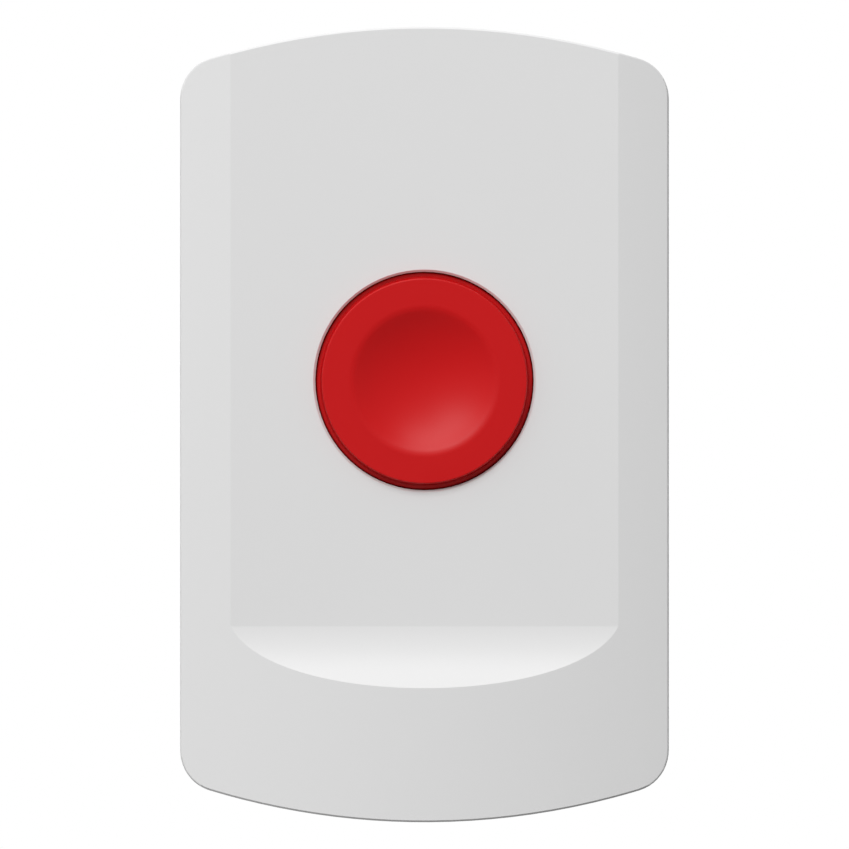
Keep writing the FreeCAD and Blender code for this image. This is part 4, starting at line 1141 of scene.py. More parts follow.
@dataclass
class Housing:
    """The two white shells."""

    panel_face: float = -24.2
    cover_depth: float = 27.0
    crown_radius: float = 108.59
    scoop_start: float = -25.5
    scoop_length: float = 7.8
    scoop_entry_deg: float = 6.5
    surface_gap: float = 0.006
    front_from: float = -21.0
    panel_back: float = -22.0
    hole_radius: float = 13.8
    side_from: float = 29.5
    end_from: float = 44.0
    hole_margin: float = 0.3
    front_tilt: float = 0.15
    rim_tilt: float = 0.5
    soft_crease_deg: float = 20.0
    base_floor: float = -2.0
    mark_radius: float = 2.0
    mark_width: float = 0.25
    mark_height: float = 0.05

    def build(self) -> None:
        """Builds both shells and the witness marks of their moulds."""
        self.cover()
        self.base()
        self.ejector_marks()

    def cover(self) -> None:
        """The front cover: the true normals of crown, panel and scoop on the CAD shape."""
        piece = cad_copy("front_cover", "front_cover_shell", 40.0)
        self.true_normals(piece)
        paint(piece, HOUSING, (HOUSING_INSIDE, self.is_inside))
        place(piece, Body.COVER, "housing_white", "front_cover")

    def is_inside(self, middle: Vector, normal: Vector) -> bool:
        """Tells whether a face of the cover isn't on its front, its outer wall or the button's hole.

        Args:
            middle: the face's middle in millimetres.
            normal: the face's normal.

        Returns:
            True for a face that is seen only from within.
        """
        on_front = normal.y < -self.front_tilt and middle.y < self.front_from
        at_hole = math.hypot(middle.x, middle.z - BUTTON_UP) < self.hole_radius + self.hole_margin
        in_hole = at_hole and middle.y < self.panel_back
        at_edge = abs(middle.x) > self.side_from or abs(middle.z) > self.end_from
        outward = normal.x * middle.x + normal.z * middle.z > 0
        return not (on_front or in_hole or (at_edge and outward and normal.y < self.rim_tilt))

    def surface(self, corners: Sequence[Vector], normal: Vector) -> Callable | None:
        """The moulded surface that all corners of a face lie on, as a rule for its normal.

        Args:
            corners: the face's corners in millimetres.
            normal: the face's own normal, which decides where two surfaces meet.

        Returns:
            A function from a point to the normal there, or None off these surfaces.
        """
        axis_y = self.crown_radius - self.cover_depth
        entry = math.radians(self.scoop_entry_deg)
        drop = self.cover_depth + self.panel_face
        chord_angle = math.atan2(drop, self.scoop_length)
        radius = math.hypot(drop, self.scoop_length) / (2.0 * math.sin(chord_angle - entry))
        centre_y = self.panel_face - radius * math.cos(entry)
        centre_z = self.scoop_start + radius * math.sin(entry)

        def crown(point: Vector) -> Vector:
            """Outward normal of the crown."""
            return Vector((point.x, point.y - axis_y, 0.0)).normalized()

        def scoop(point: Vector) -> Vector:
            """Normal of the hollow towards its axis."""
            return Vector((0.0, centre_y - point.y, centre_z - point.z)).normalized()

        def panel(point: Vector) -> Vector:
            """Normal of the flat panel."""
            return Vector((0.0, -1.0, 0.0))

        def off_panel(point: Vector) -> float:
            """Distance from the panel."""
            return point.y - self.panel_face

        def off_crown(point: Vector) -> float:
            """Distance from the crown."""
            return math.hypot(point.x, point.y - axis_y) - self.crown_radius

        def off_scoop(point: Vector) -> float:
            """Distance from the hollow."""
            return math.hypot(point.y - centre_y, point.z - centre_z) - radius

        rules = [rule for rule, off in ((panel, off_panel), (crown, off_crown), (scoop, off_scoop))
                 if all(abs(off(point)) < self.surface_gap for point in corners)]
        middle = sum(corners, Vector()) / len(corners)
        return max(rules, key=lambda rule: rule(middle).dot(normal), default=None)

    def true_normals(self, piece: bpy.types.Object) -> None:
        """Writes the exact normals of the front surfaces, and carries them over the soft creases.

        Args:
            piece: the cover's copy.
        """
        mesh = piece.data
        normals = [Vector(item.vector) for item in mesh.corner_normals]
        exact: dict[int, list[Vector]] = {}
        ruled = set()
        for face in mesh.polygons:
            corners = [mesh.vertices[index].co / MM for index in face.vertices]
            if max(point.y for point in corners) > self.front_from:
                continue
            rule = self.surface(corners, face.normal)
            if rule is None:
                continue
            ruled.add(face.index)
            for loop, index, corner in zip(face.loop_indices, face.vertices, corners):
                normals[loop] = rule(corner)
                exact.setdefault(index, []).append(normals[loop])
        soft_limit = math.cos(math.radians(self.soft_crease_deg))
        for face in mesh.polygons:
            if face.index in ruled:
                continue
            for loop, index in zip(face.loop_indices, face.vertices):
                for normal in exact.get(index, []):
                    if normal.dot(face.normal) > soft_limit:
                        normals[loop] = normal
        mesh.normals_split_custom_set(normals)

    def base(self) -> None:
        """The rear base."""
        cad_piece("rear_base", "rear_base_shell", Body.BASE, "housing_white", HOUSING,
                  (HOUSING_INSIDE, lambda middle, normal: normal.y < -FACES_AXIS))

    def ejector_marks(self) -> None:
        """Rings that the ejector pins leave on the inner faces."""
        ring = ring_section(self.mark_radius - self.mark_width, self.mark_radius, 0.0, self.mark_height)
        cover = [(x, self.panel_back, z) for x in (-19.0, 19.0) for z in (36.0, -19.0)]
        base = [(x, self.base_floor, z) for x in (-17.0, 17.0) for z in (43.0, -42.0)]
        for name, body, facing, spots in (("cover_ejector_marks", Body.COVER, Facing.WALL, cover),
                                          ("base_ejector_marks", Body.BASE, Facing.USER, base)):
            turned_copies(name, ring, spots, HOUSING_INSIDE, body, "housing_white", facing, 32)


# Push button

@dataclass
class PushButton:
    """The red cap, and what holds and returns it."""

    cap_out: float = 25.5
    rim_out: float = 23.2
    rim_margin: float = 0.05
    step_radius: float = 13.1
    step_band: float = 0.3
    step_draft: float = 0.15
    foot_margin: float = 0.1
    edge_rise: float = 1.5
    edge_scale: float = 0.6
    pad_out: float = 21.2
    travel: float = 1.5
    retainer_back: float = 11.9
    retainer_front: float = 13.5
    screw_offset: float = 19.2
    spring_radius: float = 3.58
    spring_turns: float = 6.0
    spring_gap: float = 0.02
    spring_steps: int = 320
    wire_radius: float = 0.3

    def build(self) -> None:
        """Builds the cap, its retainer, screws and spring."""
        self.cap()
        cad_piece("button_retainer", "button_retainer_plate", Body.COVER, "inner_plastic", RETAINER)
        self.screws()
        self.spring()

    def finer_step(self, point: Vector) -> Vector:
        """Draws the step round the pad as the mould leaves it.

        The edge is crisper, and the wall below it has draft.

        Args:
            point: a point of the CAD cap in millimetres.

        Returns:
            Its new place.
        """
        radius, out = math.hypot(point.x, point.z - BUTTON_UP), -point.y
        if radius < self.step_radius - self.step_band or out < self.rim_out - self.rim_margin:
            return point
        if out > self.rim_out + self.edge_rise:
            moved = self.step_radius - (self.step_radius - radius) * self.edge_scale - self.step_draft
            out = self.cap_out - (self.cap_out - out) * self.edge_scale
        else:
            at_foot = radius < self.step_radius + self.foot_margin
            moved = radius + self.step_draft / 2 if at_foot else radius
        scale = moved / radius
        return Vector((point.x * scale, -out, BUTTON_UP + (point.z - BUTTON_UP) * scale))

    def cap(self) -> None:
        """The push cap."""
        piece = cad_copy("button_cap", "push_cap", 40.0, self.finer_step)
        paint(piece, CAP_RED)
        place(piece, Body.BUTTON, "button_red", "button_cap")

    def screws(self) -> None:
        """Three screws that hold the retainer in the cover."""
        spots = []
        for degrees in (90.0, 210.0, 330.0):
            angle = math.radians(degrees)
            spots.append((self.screw_offset * math.cos(angle), -self.retainer_back,
                          BUTTON_UP + self.screw_offset * math.sin(angle)))
        piece = PanHeadScrew(length=7.0, seed=3).build("retainer_pan_screws", spots, Facing.WALL)
        place(piece, Body.COVER, "zinc_screw", "retainer_screws")

    def spring(self) -> None:
        """The return spring, from the retainer to the cap's pad."""
        steps = self.spring_steps
        length = self.pad_out - self.retainer_front - 2 * self.spring_gap
        host = plain_mesh("return_coil", [(i / steps, 0.0, 0.0) for i in range(steps + 1)],
                          [(i, i + 1) for i in range(steps)], [])
        piece = grown("return_coil", host, Trees.get("coil"), {
            "Mean Radius": self.spring_radius, "Wire Radius": self.wire_radius, "Length": length,
            "Turns": self.spring_turns, "Finish": material_of(SPRING_WIRE)}, Facing.USER, 80.0)
        foot = -(self.retainer_front + self.spring_gap)
        piece.data.transform(Matrix.Translation((0.0, foot * MM, BUTTON_UP * MM)))
        place(piece, Body.COVER, "spring_steel", "return_spring")
        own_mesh(piece)


@dataclass
class PanHeadScrew:
    """One size of pan-head screw with a cross recess and a formed thread."""

    length: float
    seed: int
    head_radius: float = 2.1
    head_height: float = 1.4
    shank_radius: float = 0.8
    bare_length: float = 1.2
    dome_share: float = 0.65
    dome_steps: int = 9
    rim_share: float = 0.3
    foot_share: float = 0.05
    foot_bevel: float = 0.06
    point_length: float = 0.7
    point_radius: float = 0.25

    def profile(self) -> list[Place]:
        """Draws the half section from the top of the head to the point of the shank.

        Returns:
            Radius and height pairs.
        """
        r, h, dome = self.head_radius, self.head_height, self.dome_share
        points = [(0.0, h)]
        # The powers make the dome fuller than a quarter of an ellipse
        for step in range(1, self.dome_steps):
            angle = math.radians(90.0 * step / self.dome_steps)
            points.append((r * math.sin(angle) ** 0.8, h * (1 - dome + dome * math.cos(angle) ** 0.7)))
        points += [(r, self.rim_share * h), (r, self.foot_share * h), (r - self.foot_bevel, 0.0),
                   (self.shank_radius, 0.0), (self.shank_radius, self.point_length - self.length),
                   (self.point_radius, -self.length), (0.0, -self.length)]
        return points

    def build(self, name: str, spots: Sequence[Point], facing: Facing) -> bpy.types.Object:
        """Grows the screws.

        Args:
            name: the name of the piece.
            spots: the middle of each head's seat, in the object's frame.
            facing: the way that the heads look.

        Returns:
            All the screws as one object.
        """
        seats = seats_mesh(name + "_seats", [facing.local(*spot) for spot in spots])
        return arrayed(name, "screws", half_section(name, self.profile()), seats, ZINC, facing, {
            "Head Height": self.head_height, "Shank Radius": self.shank_radius,
            "Thread Length": self.length - self.bare_length, "Seed": self.seed}, 35.0)


# Circuit board

@dataclass(frozen=True)
class BoardLayout:
    """Where the parts stand on the board, as places right and up."""

    face: float = 6.6
    push_switch: Place = (0.0, BUTTON_UP)
    tamper_switch: Place = (-22.0, 12.0)
    radio: Place = (11.8, 25.6)
    controller: Place = (-11.0, 25.0)
    tall_capacitor: Place = (22.2, 5.0)
    header: Place = (-22.3, 0.0)
    row_step: float = 3.2
    capacitor_right: float = -15.5
    capacitor_top: float = 17.5
    capacitor_count: int = 6
    resistor_up: float = -9.5
    resistor_left: float = -12.0
    resistor_count: int = 8
    chip_pad: float = 1.1
    end_band_from: float = 0.59
    push_feet: Place = (4.9, 3.05)
    tamper_feet: Place = (3.3, 1.9)
    wire_ends: tuple[Place, Place] = ((20.0, 32.6), (-24.6, 17.6))
    capacitor_lead: float = 3.3
    cell_tab: Place = (16.7, -11.6)
    lead_row: float = 4.5
    lead_pitch: float = 0.8
    leads_a_side: int = 8

    def capacitors(self) -> list[Place]:
        """Middles of the ceramic capacitors, from the top."""
        return [(self.capacitor_right, self.capacitor_top - self.row_step * index)
                for index in range(self.capacitor_count)]

    def resistors(self) -> list[Place]:
        """Middles of the chip resistors, from the left."""
        return [(self.resistor_left + self.row_step * index, self.resistor_up)
                for index in range(self.resistor_count)]

    def from_resistor(self, right: float) -> float:
        """How far a place is from the middle of the nearest resistor."""
        half = self.row_step / 2
        return abs((right - self.resistor_left + half) % self.row_step - half)

    def corners(self, middle: Place, reach: Place) -> list[Place]:
        """The four places round a middle, as far to the sides and up or down as the reach says."""
        return [(middle[0] + side * reach[0], middle[1] + way * reach[1])
                for side in SIDES for way in SIDES]

    def on_face(self, places: Iterable[Place]) -> list[Point]:
        """The places as points of the object, on the board's face."""
        return [(right, -self.face, up) for right, up in places]


LAYOUT = BoardLayout()


def is_board_edge(middle: Vector, normal: Vector) -> bool:
    """Whether a face is on the sawn edge of a board."""
    return abs(normal.y) < FACES_AXIS


@dataclass
class MainBoard:
    """The board with its copper pattern, marks and screws."""

    screw_right: float = 23.2
    screw_up: tuple[float, float] = (31.0, -10.0)
    track_width: float = 0.34
    track_height: float = 0.035
    channel_margin: float = 0.2
    channel_height: float = 0.006
    mark_width: float = 0.16
    mark_height: float = 0.02
    mark_half: float = 1.4
    mark_rise: float = 1.0
    stub: Place = (0.9, 2.5)
    stub_via: float = 2.7
    link: Place = (0.8, 2.4)
    sunk: float = -0.05

    def tracks(self) -> list[list[Place]]:
        """Lists the routes of the copper tracks.

        Returns:
            The routes, as places right and up on the board.
        """
        routes = [
            [(-6.6, 22.2), (-3.4, 22.2), (-2.6, 21.4), (3.4, 21.4)],
            [(-6.6, 23.0), (-1.4, 23.0), (-0.9, 22.5), (3.4, 22.5)],
            [(-6.6, 23.8), (3.4, 23.8)],
            [(-6.6, 25.4), (-5.2, 25.4), (-4.2, 26.4), (-4.2, 27.4)],
            [(-6.6, 24.6), (-0.2, 24.6), (1.0, 25.8), (1.0, 27.4)],
            [(-8.2, 20.6), (-8.2, 12.8), (-4.7, 9.3), (-4.7, 8.55)],
            [(-9.0, 20.6), (-9.0, 3.4), (-7.9, 2.3), (-4.7, 2.3)],
            [(-9.8, 20.6), (-9.8, -3.4), (-12.9, -6.5), (-12.9, -9.4)],
            [(-10.6, 20.6), (-10.6, 1.0), (-14.2, -2.6), (-20.9, -2.6), (-22.3, -2.54)],
            [(-11.4, 20.6), (-11.4, 4.6), (-16.0, 0.0), (-22.3, 0.0)],
            [(-12.2, 20.6), (-12.2, 19.6), (-12.9, 18.9), (-18.4, 18.9), (-18.4, 14.4), (-18.1, 13.9)],
            [(-13.0, 20.6), (-13.0, 20.0), (-13.7, 19.7), (-20.6, 19.7), (-24.6, 17.6)],
            [(20.4, 31.8), (21.6, 30.6), (21.6, 27.0), (20.2, 25.6)],
            [(20.2, 22.4), (21.4, 22.4), (24.2, 19.6), (24.2, 10.2), (22.2, 8.0)],
            [(22.2, 2.0), (22.2, -3.0), (17.6, -7.6), (17.6, -10.8), (16.6, -11.6)],
            [(4.7, 2.3), (7.2, -0.2), (7.2, -7.6), (7.8, -8.2), (7.8, -9.4)],
            [(4.7, 8.55), (8.8, 12.65), (8.8, 20.0), (8.8, 20.9)],
            [(-16.6, -11.6), (-14.4, -11.6), (9.4, -11.6), (11.2, -9.8)],
        ]
        for right, up in LAYOUT.capacitors():
            routes.append([(right - reach, up) for reach in self.stub])
        for right, up in LAYOUT.resistors()[:-1]:
            routes.append([(right + reach, up) for reach in self.link])
        return routes

    def vias(self) -> list[Place]:
        """Lists the places of the plated holes.

        Returns:
            The places right and up on the board.
        """
        near_rows = [(right - self.stub_via, up) for right, up in LAYOUT.capacitors()]
        stitched = [(right, 33.2) for right in (-18.0, -12.0, -6.0, 0.0, 6.0, 12.0)]
        loose = [(-8.2, 16.4), (-9.8, -1.2), (8.8, 16.8), (24.2, 15.0), (7.2, -4.0), (14.0, 14.0),
                 (14.0, 8.0), (14.0, 2.0), (19.0, 12.0), (19.0, -3.0), (-24.6, 7.6), (-24.6, -5.0),
                 (-5.0, -5.0), (0.0, -5.0), (0.0, 14.0), (3.0, 17.0), (-4.0, 18.6)]
        return near_rows + stitched + loose

    def outlines(self) -> list[list[Place]]:
        """Lists the white marks round the components.

        Returns:
            The lines, as places right and up on the board.
        """
        boxes = [(*LAYOUT.push_switch, 11.6, 9.6), (*LAYOUT.tamper_switch, 7.4, 7.2),
                 (*LAYOUT.tall_capacitor, 6.9, 7.6), (*LAYOUT.header, 3.3, 8.6),
                 (*LAYOUT.radio, 19.0, 11.4)]
        lines = []
        for right, up, width, height in boxes:
            x0, x1, y0, y1 = right - width / 2, right + width / 2, up - height / 2, up + height / 2
            lines.append([(x0, y0), (x1, y0), (x1, y1), (x0, y1), (x0, y0)])
        for right, up in LAYOUT.capacitors():
            for side in SIDES:
                level = up - side * self.mark_rise
                lines.append([(right - self.mark_half, level), (right + self.mark_half, level)])
        lines.append([(-16.0, 20.2), (-16.0, 29.8), (-6.0, 29.8), (-6.0, 20.2), (-16.0, 20.2)])
        crystal = [[(-5.4, 31.3), (1.8, 31.3)], [(-5.4, 25.9), (1.8, 25.9)]]
        plus = [[(24.6, 9.2), (24.6, 10.4)], [(24.0, 9.8), (25.2, 9.8)]]
        return lines + crystal + plus

    def screw_places(self) -> list[Place]:
        """Places of the four screws."""
        return [(right, up) for right in (-self.screw_right, self.screw_right) for up in self.screw_up]

    def build(self) -> None:
        """Builds the board and what is printed, plated or screwed on it."""
        cad_piece("main_board", "main_board_laminate", Body.BASE, "board_green", MASK_GREEN,
                  (GLASS_EDGE, is_board_edge))
        self.pattern()
        self.plating()
        self.solder()
        screws = PanHeadScrew(length=4.3, seed=8).build(
            "board_pan_screws", LAYOUT.on_face(self.screw_places()), Facing.USER)
        place(screws, Body.BASE, "zinc_screw", "board_screws")

    def strips(self, name: str, lines: Sequence[Sequence[Place]], width: float, height: float,
               finish: Finish, corner: float = 0.5) -> None:
        """Lays flat strips on the board.

        Args:
            name: the name of the piece.
            lines: the routes.
            width: width of the strips.
            height: how far they stand out of the board.
            finish: their finish.
            corner: radius of their corners.
        """
        piece = grown(name, polyline(name, lines, LAYOUT.face), Trees.get("ribbons"), {
            "Width": width, "Height": 2 * height, "Corner": corner,
            "Finish": material_of(finish)}, Facing.USER)
        place(piece, Body.BASE, "board_green")

    def pattern(self) -> None:
        """Copper tracks in their cleared channels, and the printed outlines."""
        tracks = self.tracks()
        self.strips("board_channels", tracks, self.track_width + 2 * self.channel_margin,
                    self.channel_height, MASK_GAP)
        self.strips("board_tracks", tracks, self.track_width, self.track_height, MASK_TRACK)
        self.strips("board_marks", self.outlines(), self.mark_width, self.mark_height, INK_WHITE, 0.0)

    def plating(self) -> None:
        """Vias, rings round the screw holes, and fiducials."""
        fiducials = [(-14.0, 31.6), (14.0, -5.6), (18.0, 17.0)]
        for name, section, places, finish, segments in (
                ("board_vias", ring_section(0.16, 0.36, self.sunk, 0.045), self.vias(), GOLD_PAD, 16),
                ("board_screw_lands", ring_section(1.32, 2.7, self.sunk, 0.03), self.screw_places(),
                 TIN, 40),
                ("board_fiducials", [(0.0, 0.03), (0.5, 0.03), (0.5, self.sunk), (0.0, self.sunk)],
                 fiducials, GOLD_PAD, 24)):
            turned_copies(name, section, LAYOUT.on_face(places), finish, Body.BASE, "board_green",
                          Facing.USER, segments)

    def fillets(self) -> list[tuple[Place, Point]]:
        """Lists the solder fillets at feet, pads and leads.

        Returns:
            The place of each, right and up, and its width, height and rise.
        """
        first_end, last_end = LAYOUT.wire_ends
        tall_right, tall_up = LAYOUT.tall_capacitor
        tab_right, tab_up = LAYOUT.cell_tab
        pad = LAYOUT.chip_pad
        groups = [
            (LAYOUT.corners(LAYOUT.push_switch, LAYOUT.push_feet), (1.9, 1.5, 1.0)),
            (LAYOUT.corners(LAYOUT.tamper_switch, LAYOUT.tamper_feet), (1.3, 1.4, 1.0)),
            ([first_end], (2.2, 1.9, 2.2)),
            ([last_end], (1.9, 2.2, 2.2)),
            ([(tall_right, tall_up + way * LAYOUT.capacitor_lead) for way in SIDES], (1.6, 1.6, 1.0)),
            ([(side * tab_right, tab_up) for side in SIDES], (3.9, 2.7, 1.2)),
            ([(x + side * pad, up) for x, up in LAYOUT.capacitors() for side in SIDES], (0.8, 1.4, 1.2)),
            ([(x + side * pad, up) for x, up in LAYOUT.resistors() for side in SIDES], (0.8, 1.4, 0.8)),
        ]
        fillets = [(spot, size) for spots, size in groups for spot in spots]
        right, up = LAYOUT.controller
        for along in spaced(LAYOUT.leads_a_side, LAYOUT.lead_pitch):
            for side in SIDES:
                off = side * LAYOUT.lead_row
                fillets.append(((right + off, up + along), (1.1, 0.46, 0.4)))
                fillets.append(((right + along, up + off), (0.46, 1.1, 0.4)))
        return fillets

    def solder(self) -> None:
        """The solder, as one piece of small pillows."""
        fillets, facing = self.fillets(), Facing.USER
        spots = LAYOUT.on_face([spot for spot, _ in fillets])
        seats = seats_mesh("solder", [facing.local(*spot) for spot in spots],
                           [size for _, size in fillets])
        pillow = soft_box("solder_pillow", (1.0, 1.0, 0.2), 0.09)
        piece = arrayed("board_solder", "shape_array", pillow, seats, SOLDER, facing, sharp_deg=70.0)
        place(piece, Body.BASE, "tinned_metal")


# Switches

@dataclass
class Switches:
    """The push switch under the stem and the tamper switch at the side."""

    push_half: float = 4.25
    push_shoulder: float = 9.1
    tamper_half: float = 3.1
    tamper_shoulder: float = 8.9
    plate_facing: float = 0.9

    def build(self) -> None:
        """Builds both switches and their plungers."""
        self.switch("push_switch_body", "push_switch_case", LAYOUT.push_switch[0], self.push_half,
                    self.push_shoulder)
        self.switch("tamper_switch_body", "tamper_switch_case", LAYOUT.tamper_switch[0],
                    self.tamper_half, self.tamper_shoulder)
        cad_piece("push_switch_plunger", "push_switch_pin", Body.PUSH_PIN, "switch_plunger", ACETAL)
        cad_piece("tamper_plunger", "tamper_switch_pin", Body.TAMPER_PIN, "switch_plunger", ACETAL)

    def switch(self, node: str, name: str, right: float, half: float, shoulder: float) -> None:
        """Dresses one switch case: steel cover plate, black collar and tinned feet.

        Args:
            node: the CAD node.
            name: the name of the piece.
            right: the switch's middle.
            half: half its width.
            shoulder: how far its cover plate stands from the wall.
        """
        def is_foot(middle: Vector, normal: Vector) -> bool:
            """Whether a face belongs to one of the feet."""
            return abs(middle.x - right) > half + NEAR

        def is_plate(middle: Vector, normal: Vector) -> bool:
            """Whether a face belongs to the cover plate."""
            return normal.y < -self.plate_facing and abs(middle.y + shoulder) < 2 * NEAR

        cad_piece(node, name, Body.BASE, "black_plastic", SWITCH_BLACK, (TIN, is_foot),
                  (STEEL_COVER, is_plate), sharp_deg=40.0)


# Radio and controller

@dataclass
class Electronics:
    """Radio module, antenna, controller and the small parts."""

    can_out: float = 9.2
    module_out: float = 7.4
    hole_columns: int = 7
    hole_rows: int = 5
    hole_pitch: Place = (1.7, 1.5)
    pads_a_side: int = 12
    pad_pitch: float = 1.4
    pad_row: float = 4.85
    chip_half: float = 3.5
    chip_out: float = 7.92
    dimple_inset: float = 1.1
    header_seat: float = 9.1
    capacitor_seat: float = 7.4

    def build(self) -> None:
        """Builds everything that is soldered to the board."""
        self.radio()
        self.controller()
        self.small_parts()

    def radio(self) -> None:
        """Module board with edge pads, screening can with black discs of painted shade for its holes, and
        the antenna.
        """
        cad_piece("radio_module_board", "radio_module_laminate", Body.BASE, "module_board", MASK_BLUE,
                  (GLASS_EDGE, is_board_edge))
        cad_piece("radio_shield_can", "radio_screening_can", Body.BASE, "tinned_metal", TIN)
        facing = Facing.USER
        right, up = LAYOUT.radio
        across, along = self.hole_pitch
        # The can's holes are not cut: each is a thin black disc, painted shade for the hole's dark inside
        dot = [(0.0, 0.006), (0.3, 0.006), (0.34, -0.02), (0.0, -0.02)]
        spots = [(right + column, -self.can_out, up + row)
                 for column in spaced(self.hole_columns, across) for row in spaced(self.hole_rows, along)]
        turned_copies("radio_can_holes", dot, spots, HOLE_PAINTED_SHADE, Body.BASE, "tinned_metal", facing, 16)
        spots = [(right + step, -self.module_out, up + side * self.pad_row)
                 for step in spaced(self.pads_a_side, self.pad_pitch) for side in SIDES]
        seats = seats_mesh("edge_pads", [facing.local(*spot) for spot in spots])
        pad = soft_box("edge_pad", (0.8, 0.62, 0.03), 0.01)
        pads = arrayed("radio_edge_pads", "shape_array", pad, seats, GOLD_PAD, facing)
        place(pads, Body.BASE, "module_board")
        cad_piece("antenna_wire", "antenna_rod", Body.BASE, "copper_wire", COPPER, sharp_deg=60.0)

    def controller(self) -> None:
        """Microcontroller with tinned leads and its corner dimple."""
        right, up = LAYOUT.controller

        def is_lead(middle: Vector, normal: Vector) -> bool:
            """Whether a face belongs to a lead."""
            return max(abs(middle.x - right), abs(middle.z - up)) > self.chip_half + 2 * NEAR

        cad_piece("microcontroller", "controller_chip", Body.BASE, "chip_epoxy", EPOXY, (TIN, is_lead),
                  sharp_deg=25.0)
        dish = [(0.0, 0.004), (0.42, 0.004), (0.5, 0.012), (0.54, -0.02), (0.0, -0.02)]
        corner = self.chip_half - self.dimple_inset
        turned_copies("controller_dimple", dish, [(right - corner, -self.chip_out, up + corner)], DIMPLE,
                      Body.BASE, "chip_epoxy", Facing.USER, 32)

    def small_parts(self) -> None:
        """Crystal, capacitors, resistors and the test header."""
        def is_seat(middle: Vector, normal: Vector) -> bool:
            """Whether a face belongs to the moulded base of the tall capacitor."""
            return middle.y > -(self.capacitor_seat + NEAR)

        def is_pin(middle: Vector, normal: Vector) -> bool:
            """Whether a face belongs to a pin of the header."""
            return middle.y < -(self.header_seat + NEAR)

        def is_capacitor_end(middle: Vector, normal: Vector) -> bool:
            """Whether a face belongs to a ceramic capacitor's end band."""
            return abs(middle.x - LAYOUT.capacitor_right) > LAYOUT.end_band_from

        def is_resistor_end(middle: Vector, normal: Vector) -> bool:
            """Whether a face belongs to a resistor's end band."""
            return LAYOUT.from_resistor(middle.x) > LAYOUT.end_band_from

        cad_piece("crystal_can", "crystal_case", Body.BASE, "tinned_metal", TIN)
        cad_piece("electrolytic_capacitor", "electrolytic_case", Body.BASE, "capacitor_can", ALUMINIUM,
                  (SWITCH_BLACK, is_seat))
        cad_piece("test_header", "test_header_block", Body.BASE, "black_plastic", SWITCH_BLACK,
                  (GOLD_PAD, is_pin))
        cad_piece("ceramic_capacitors", "ceramic_chip_capacitors", Body.BASE, "ceramic_tan", CERAMIC,
                  (TIN, is_capacitor_end))
        cad_piece("chip_resistors", "thick_film_resistors", Body.BASE, "resistor_black", GLAZE,
                  (TIN, is_resistor_end))


# Battery

@dataclass
class PowerSupply:
    """The lithium cell, its holder and contacts."""

    axis_y: float = -12.25
    axis_z: float = -24.0
    radius: float = 8.5
    left: float = -16.45
    right: float = 17.05
    nub_end: float = 18.05
    nub_radius: float = 3.2
    sleeve: float = 0.12
    sleeve_reach: float = 1.5
    corner: float = 0.7
    corner_steps: int = 6
    crimp: tuple[float, float, float, float] = (3.3, 2.9, 2.5, 2.1)
    crimp_depth: float = 0.25
    end_recess: float = 0.15
    bead: float = 0.05
    lip_step: float = 0.1
    cap_drop: float = 0.08
    groove_drop: float = 0.3
    nub_foot: float = 0.5
    nub_bevel: float = 0.25
    nub_margin: float = 0.4

    def build(self) -> None:
        """Builds the holder, the contacts and the cell."""
        cad_piece("battery_holder", "cell_holder", Body.BASE, "black_plastic", HOLDER_BLACK,
                  sharp_deg=35.0)
        for node, name in (("battery_contact_positive", "positive_contact"),
                           ("battery_contact_negative", "negative_contact")):
            cad_piece(node, name, Body.BASE, "contact_metal", NICKEL, sharp_deg=30.0)
        self.cell()

    def lip(self) -> float:
        """Radius at which the sleeve ends on both ends of the cell."""
        return self.radius - self.sleeve - self.sleeve_reach

    def profile(self) -> list[Place]:
        """Draws the half section of the cell from its flat end to the tip of its nub.

        Returns:
            Radius and height pairs.
        """
        r, low, high, corner = self.radius, self.left, self.right, self.corner
        nub, tip, bevel, steps = self.nub_radius, self.nub_end, self.nub_bevel, self.corner_steps
        lip, step_in, groove = self.lip(), self.lip() - self.lip_step, high - self.groove_drop
        points = [(0.0, low + self.end_recess), (5.6, low + self.end_recess), (5.9, low + self.bead),
                  (step_in, low + self.bead), (lip, low), (r - self.sleeve - corner, low)]
        for step in range(1, steps + 1):
            angle = math.radians(90.0 * step / steps)
            points.append((r - corner + corner * math.sin(angle), low + corner - corner * math.cos(angle)))
        for drop, depth in zip(self.crimp, (0.0, self.crimp_depth, self.crimp_depth, 0.0)):
            points.append((r - depth, high - drop))
        for step in range(steps + 1):
            angle = math.radians(90.0 * step / steps)
            points.append((r - corner + corner * math.cos(angle), high - corner + corner * math.sin(angle)))
        points += [(lip, high), (step_in, high - self.cap_drop), (4.6, high - self.cap_drop),
                   (4.4, groove), (nub + self.nub_foot, groove), (nub, high - self.bead),
                   (nub, tip - bevel), (nub - bevel, tip), (0.0, tip)]
        return points

    def cell(self) -> None:
        """The cell: metal ends, a crimp and a shrunk sleeve."""
        host = half_section("lithium_cell", self.profile())
        piece = grown("lithium_cell", host, Trees.get("lathe"),
                      {"Segments": 96, "Finish": material_of(SLEEVE)}, Facing.USER)
        back = Facing.USER.matrix().inverted()
        lay = Matrix.Rotation(math.radians(90.0), 4, "Y")
        shift = Matrix.Translation((0.0, self.axis_y * MM, self.axis_z * MM))
        piece.data.transform(shift @ Matrix.Scale(MM, 4) @ lay @ back)

        at_end, at_nub = self.lip(), self.nub_radius + self.nub_margin

        def is_bare(middle: Vector, normal: Vector) -> bool:
            """Whether a face belongs to the metal that the sleeve leaves open."""
            from_axis = math.hypot(middle.y - self.axis_y, middle.z - self.axis_z)
            return from_axis < (at_end if abs(normal.x) > FACES_AXIS else at_nub)

        paint(piece, SLEEVE, (NICKEL, is_bare))
        place(piece, Body.BASE, "cell_sleeve", "battery_cell")


# Studio

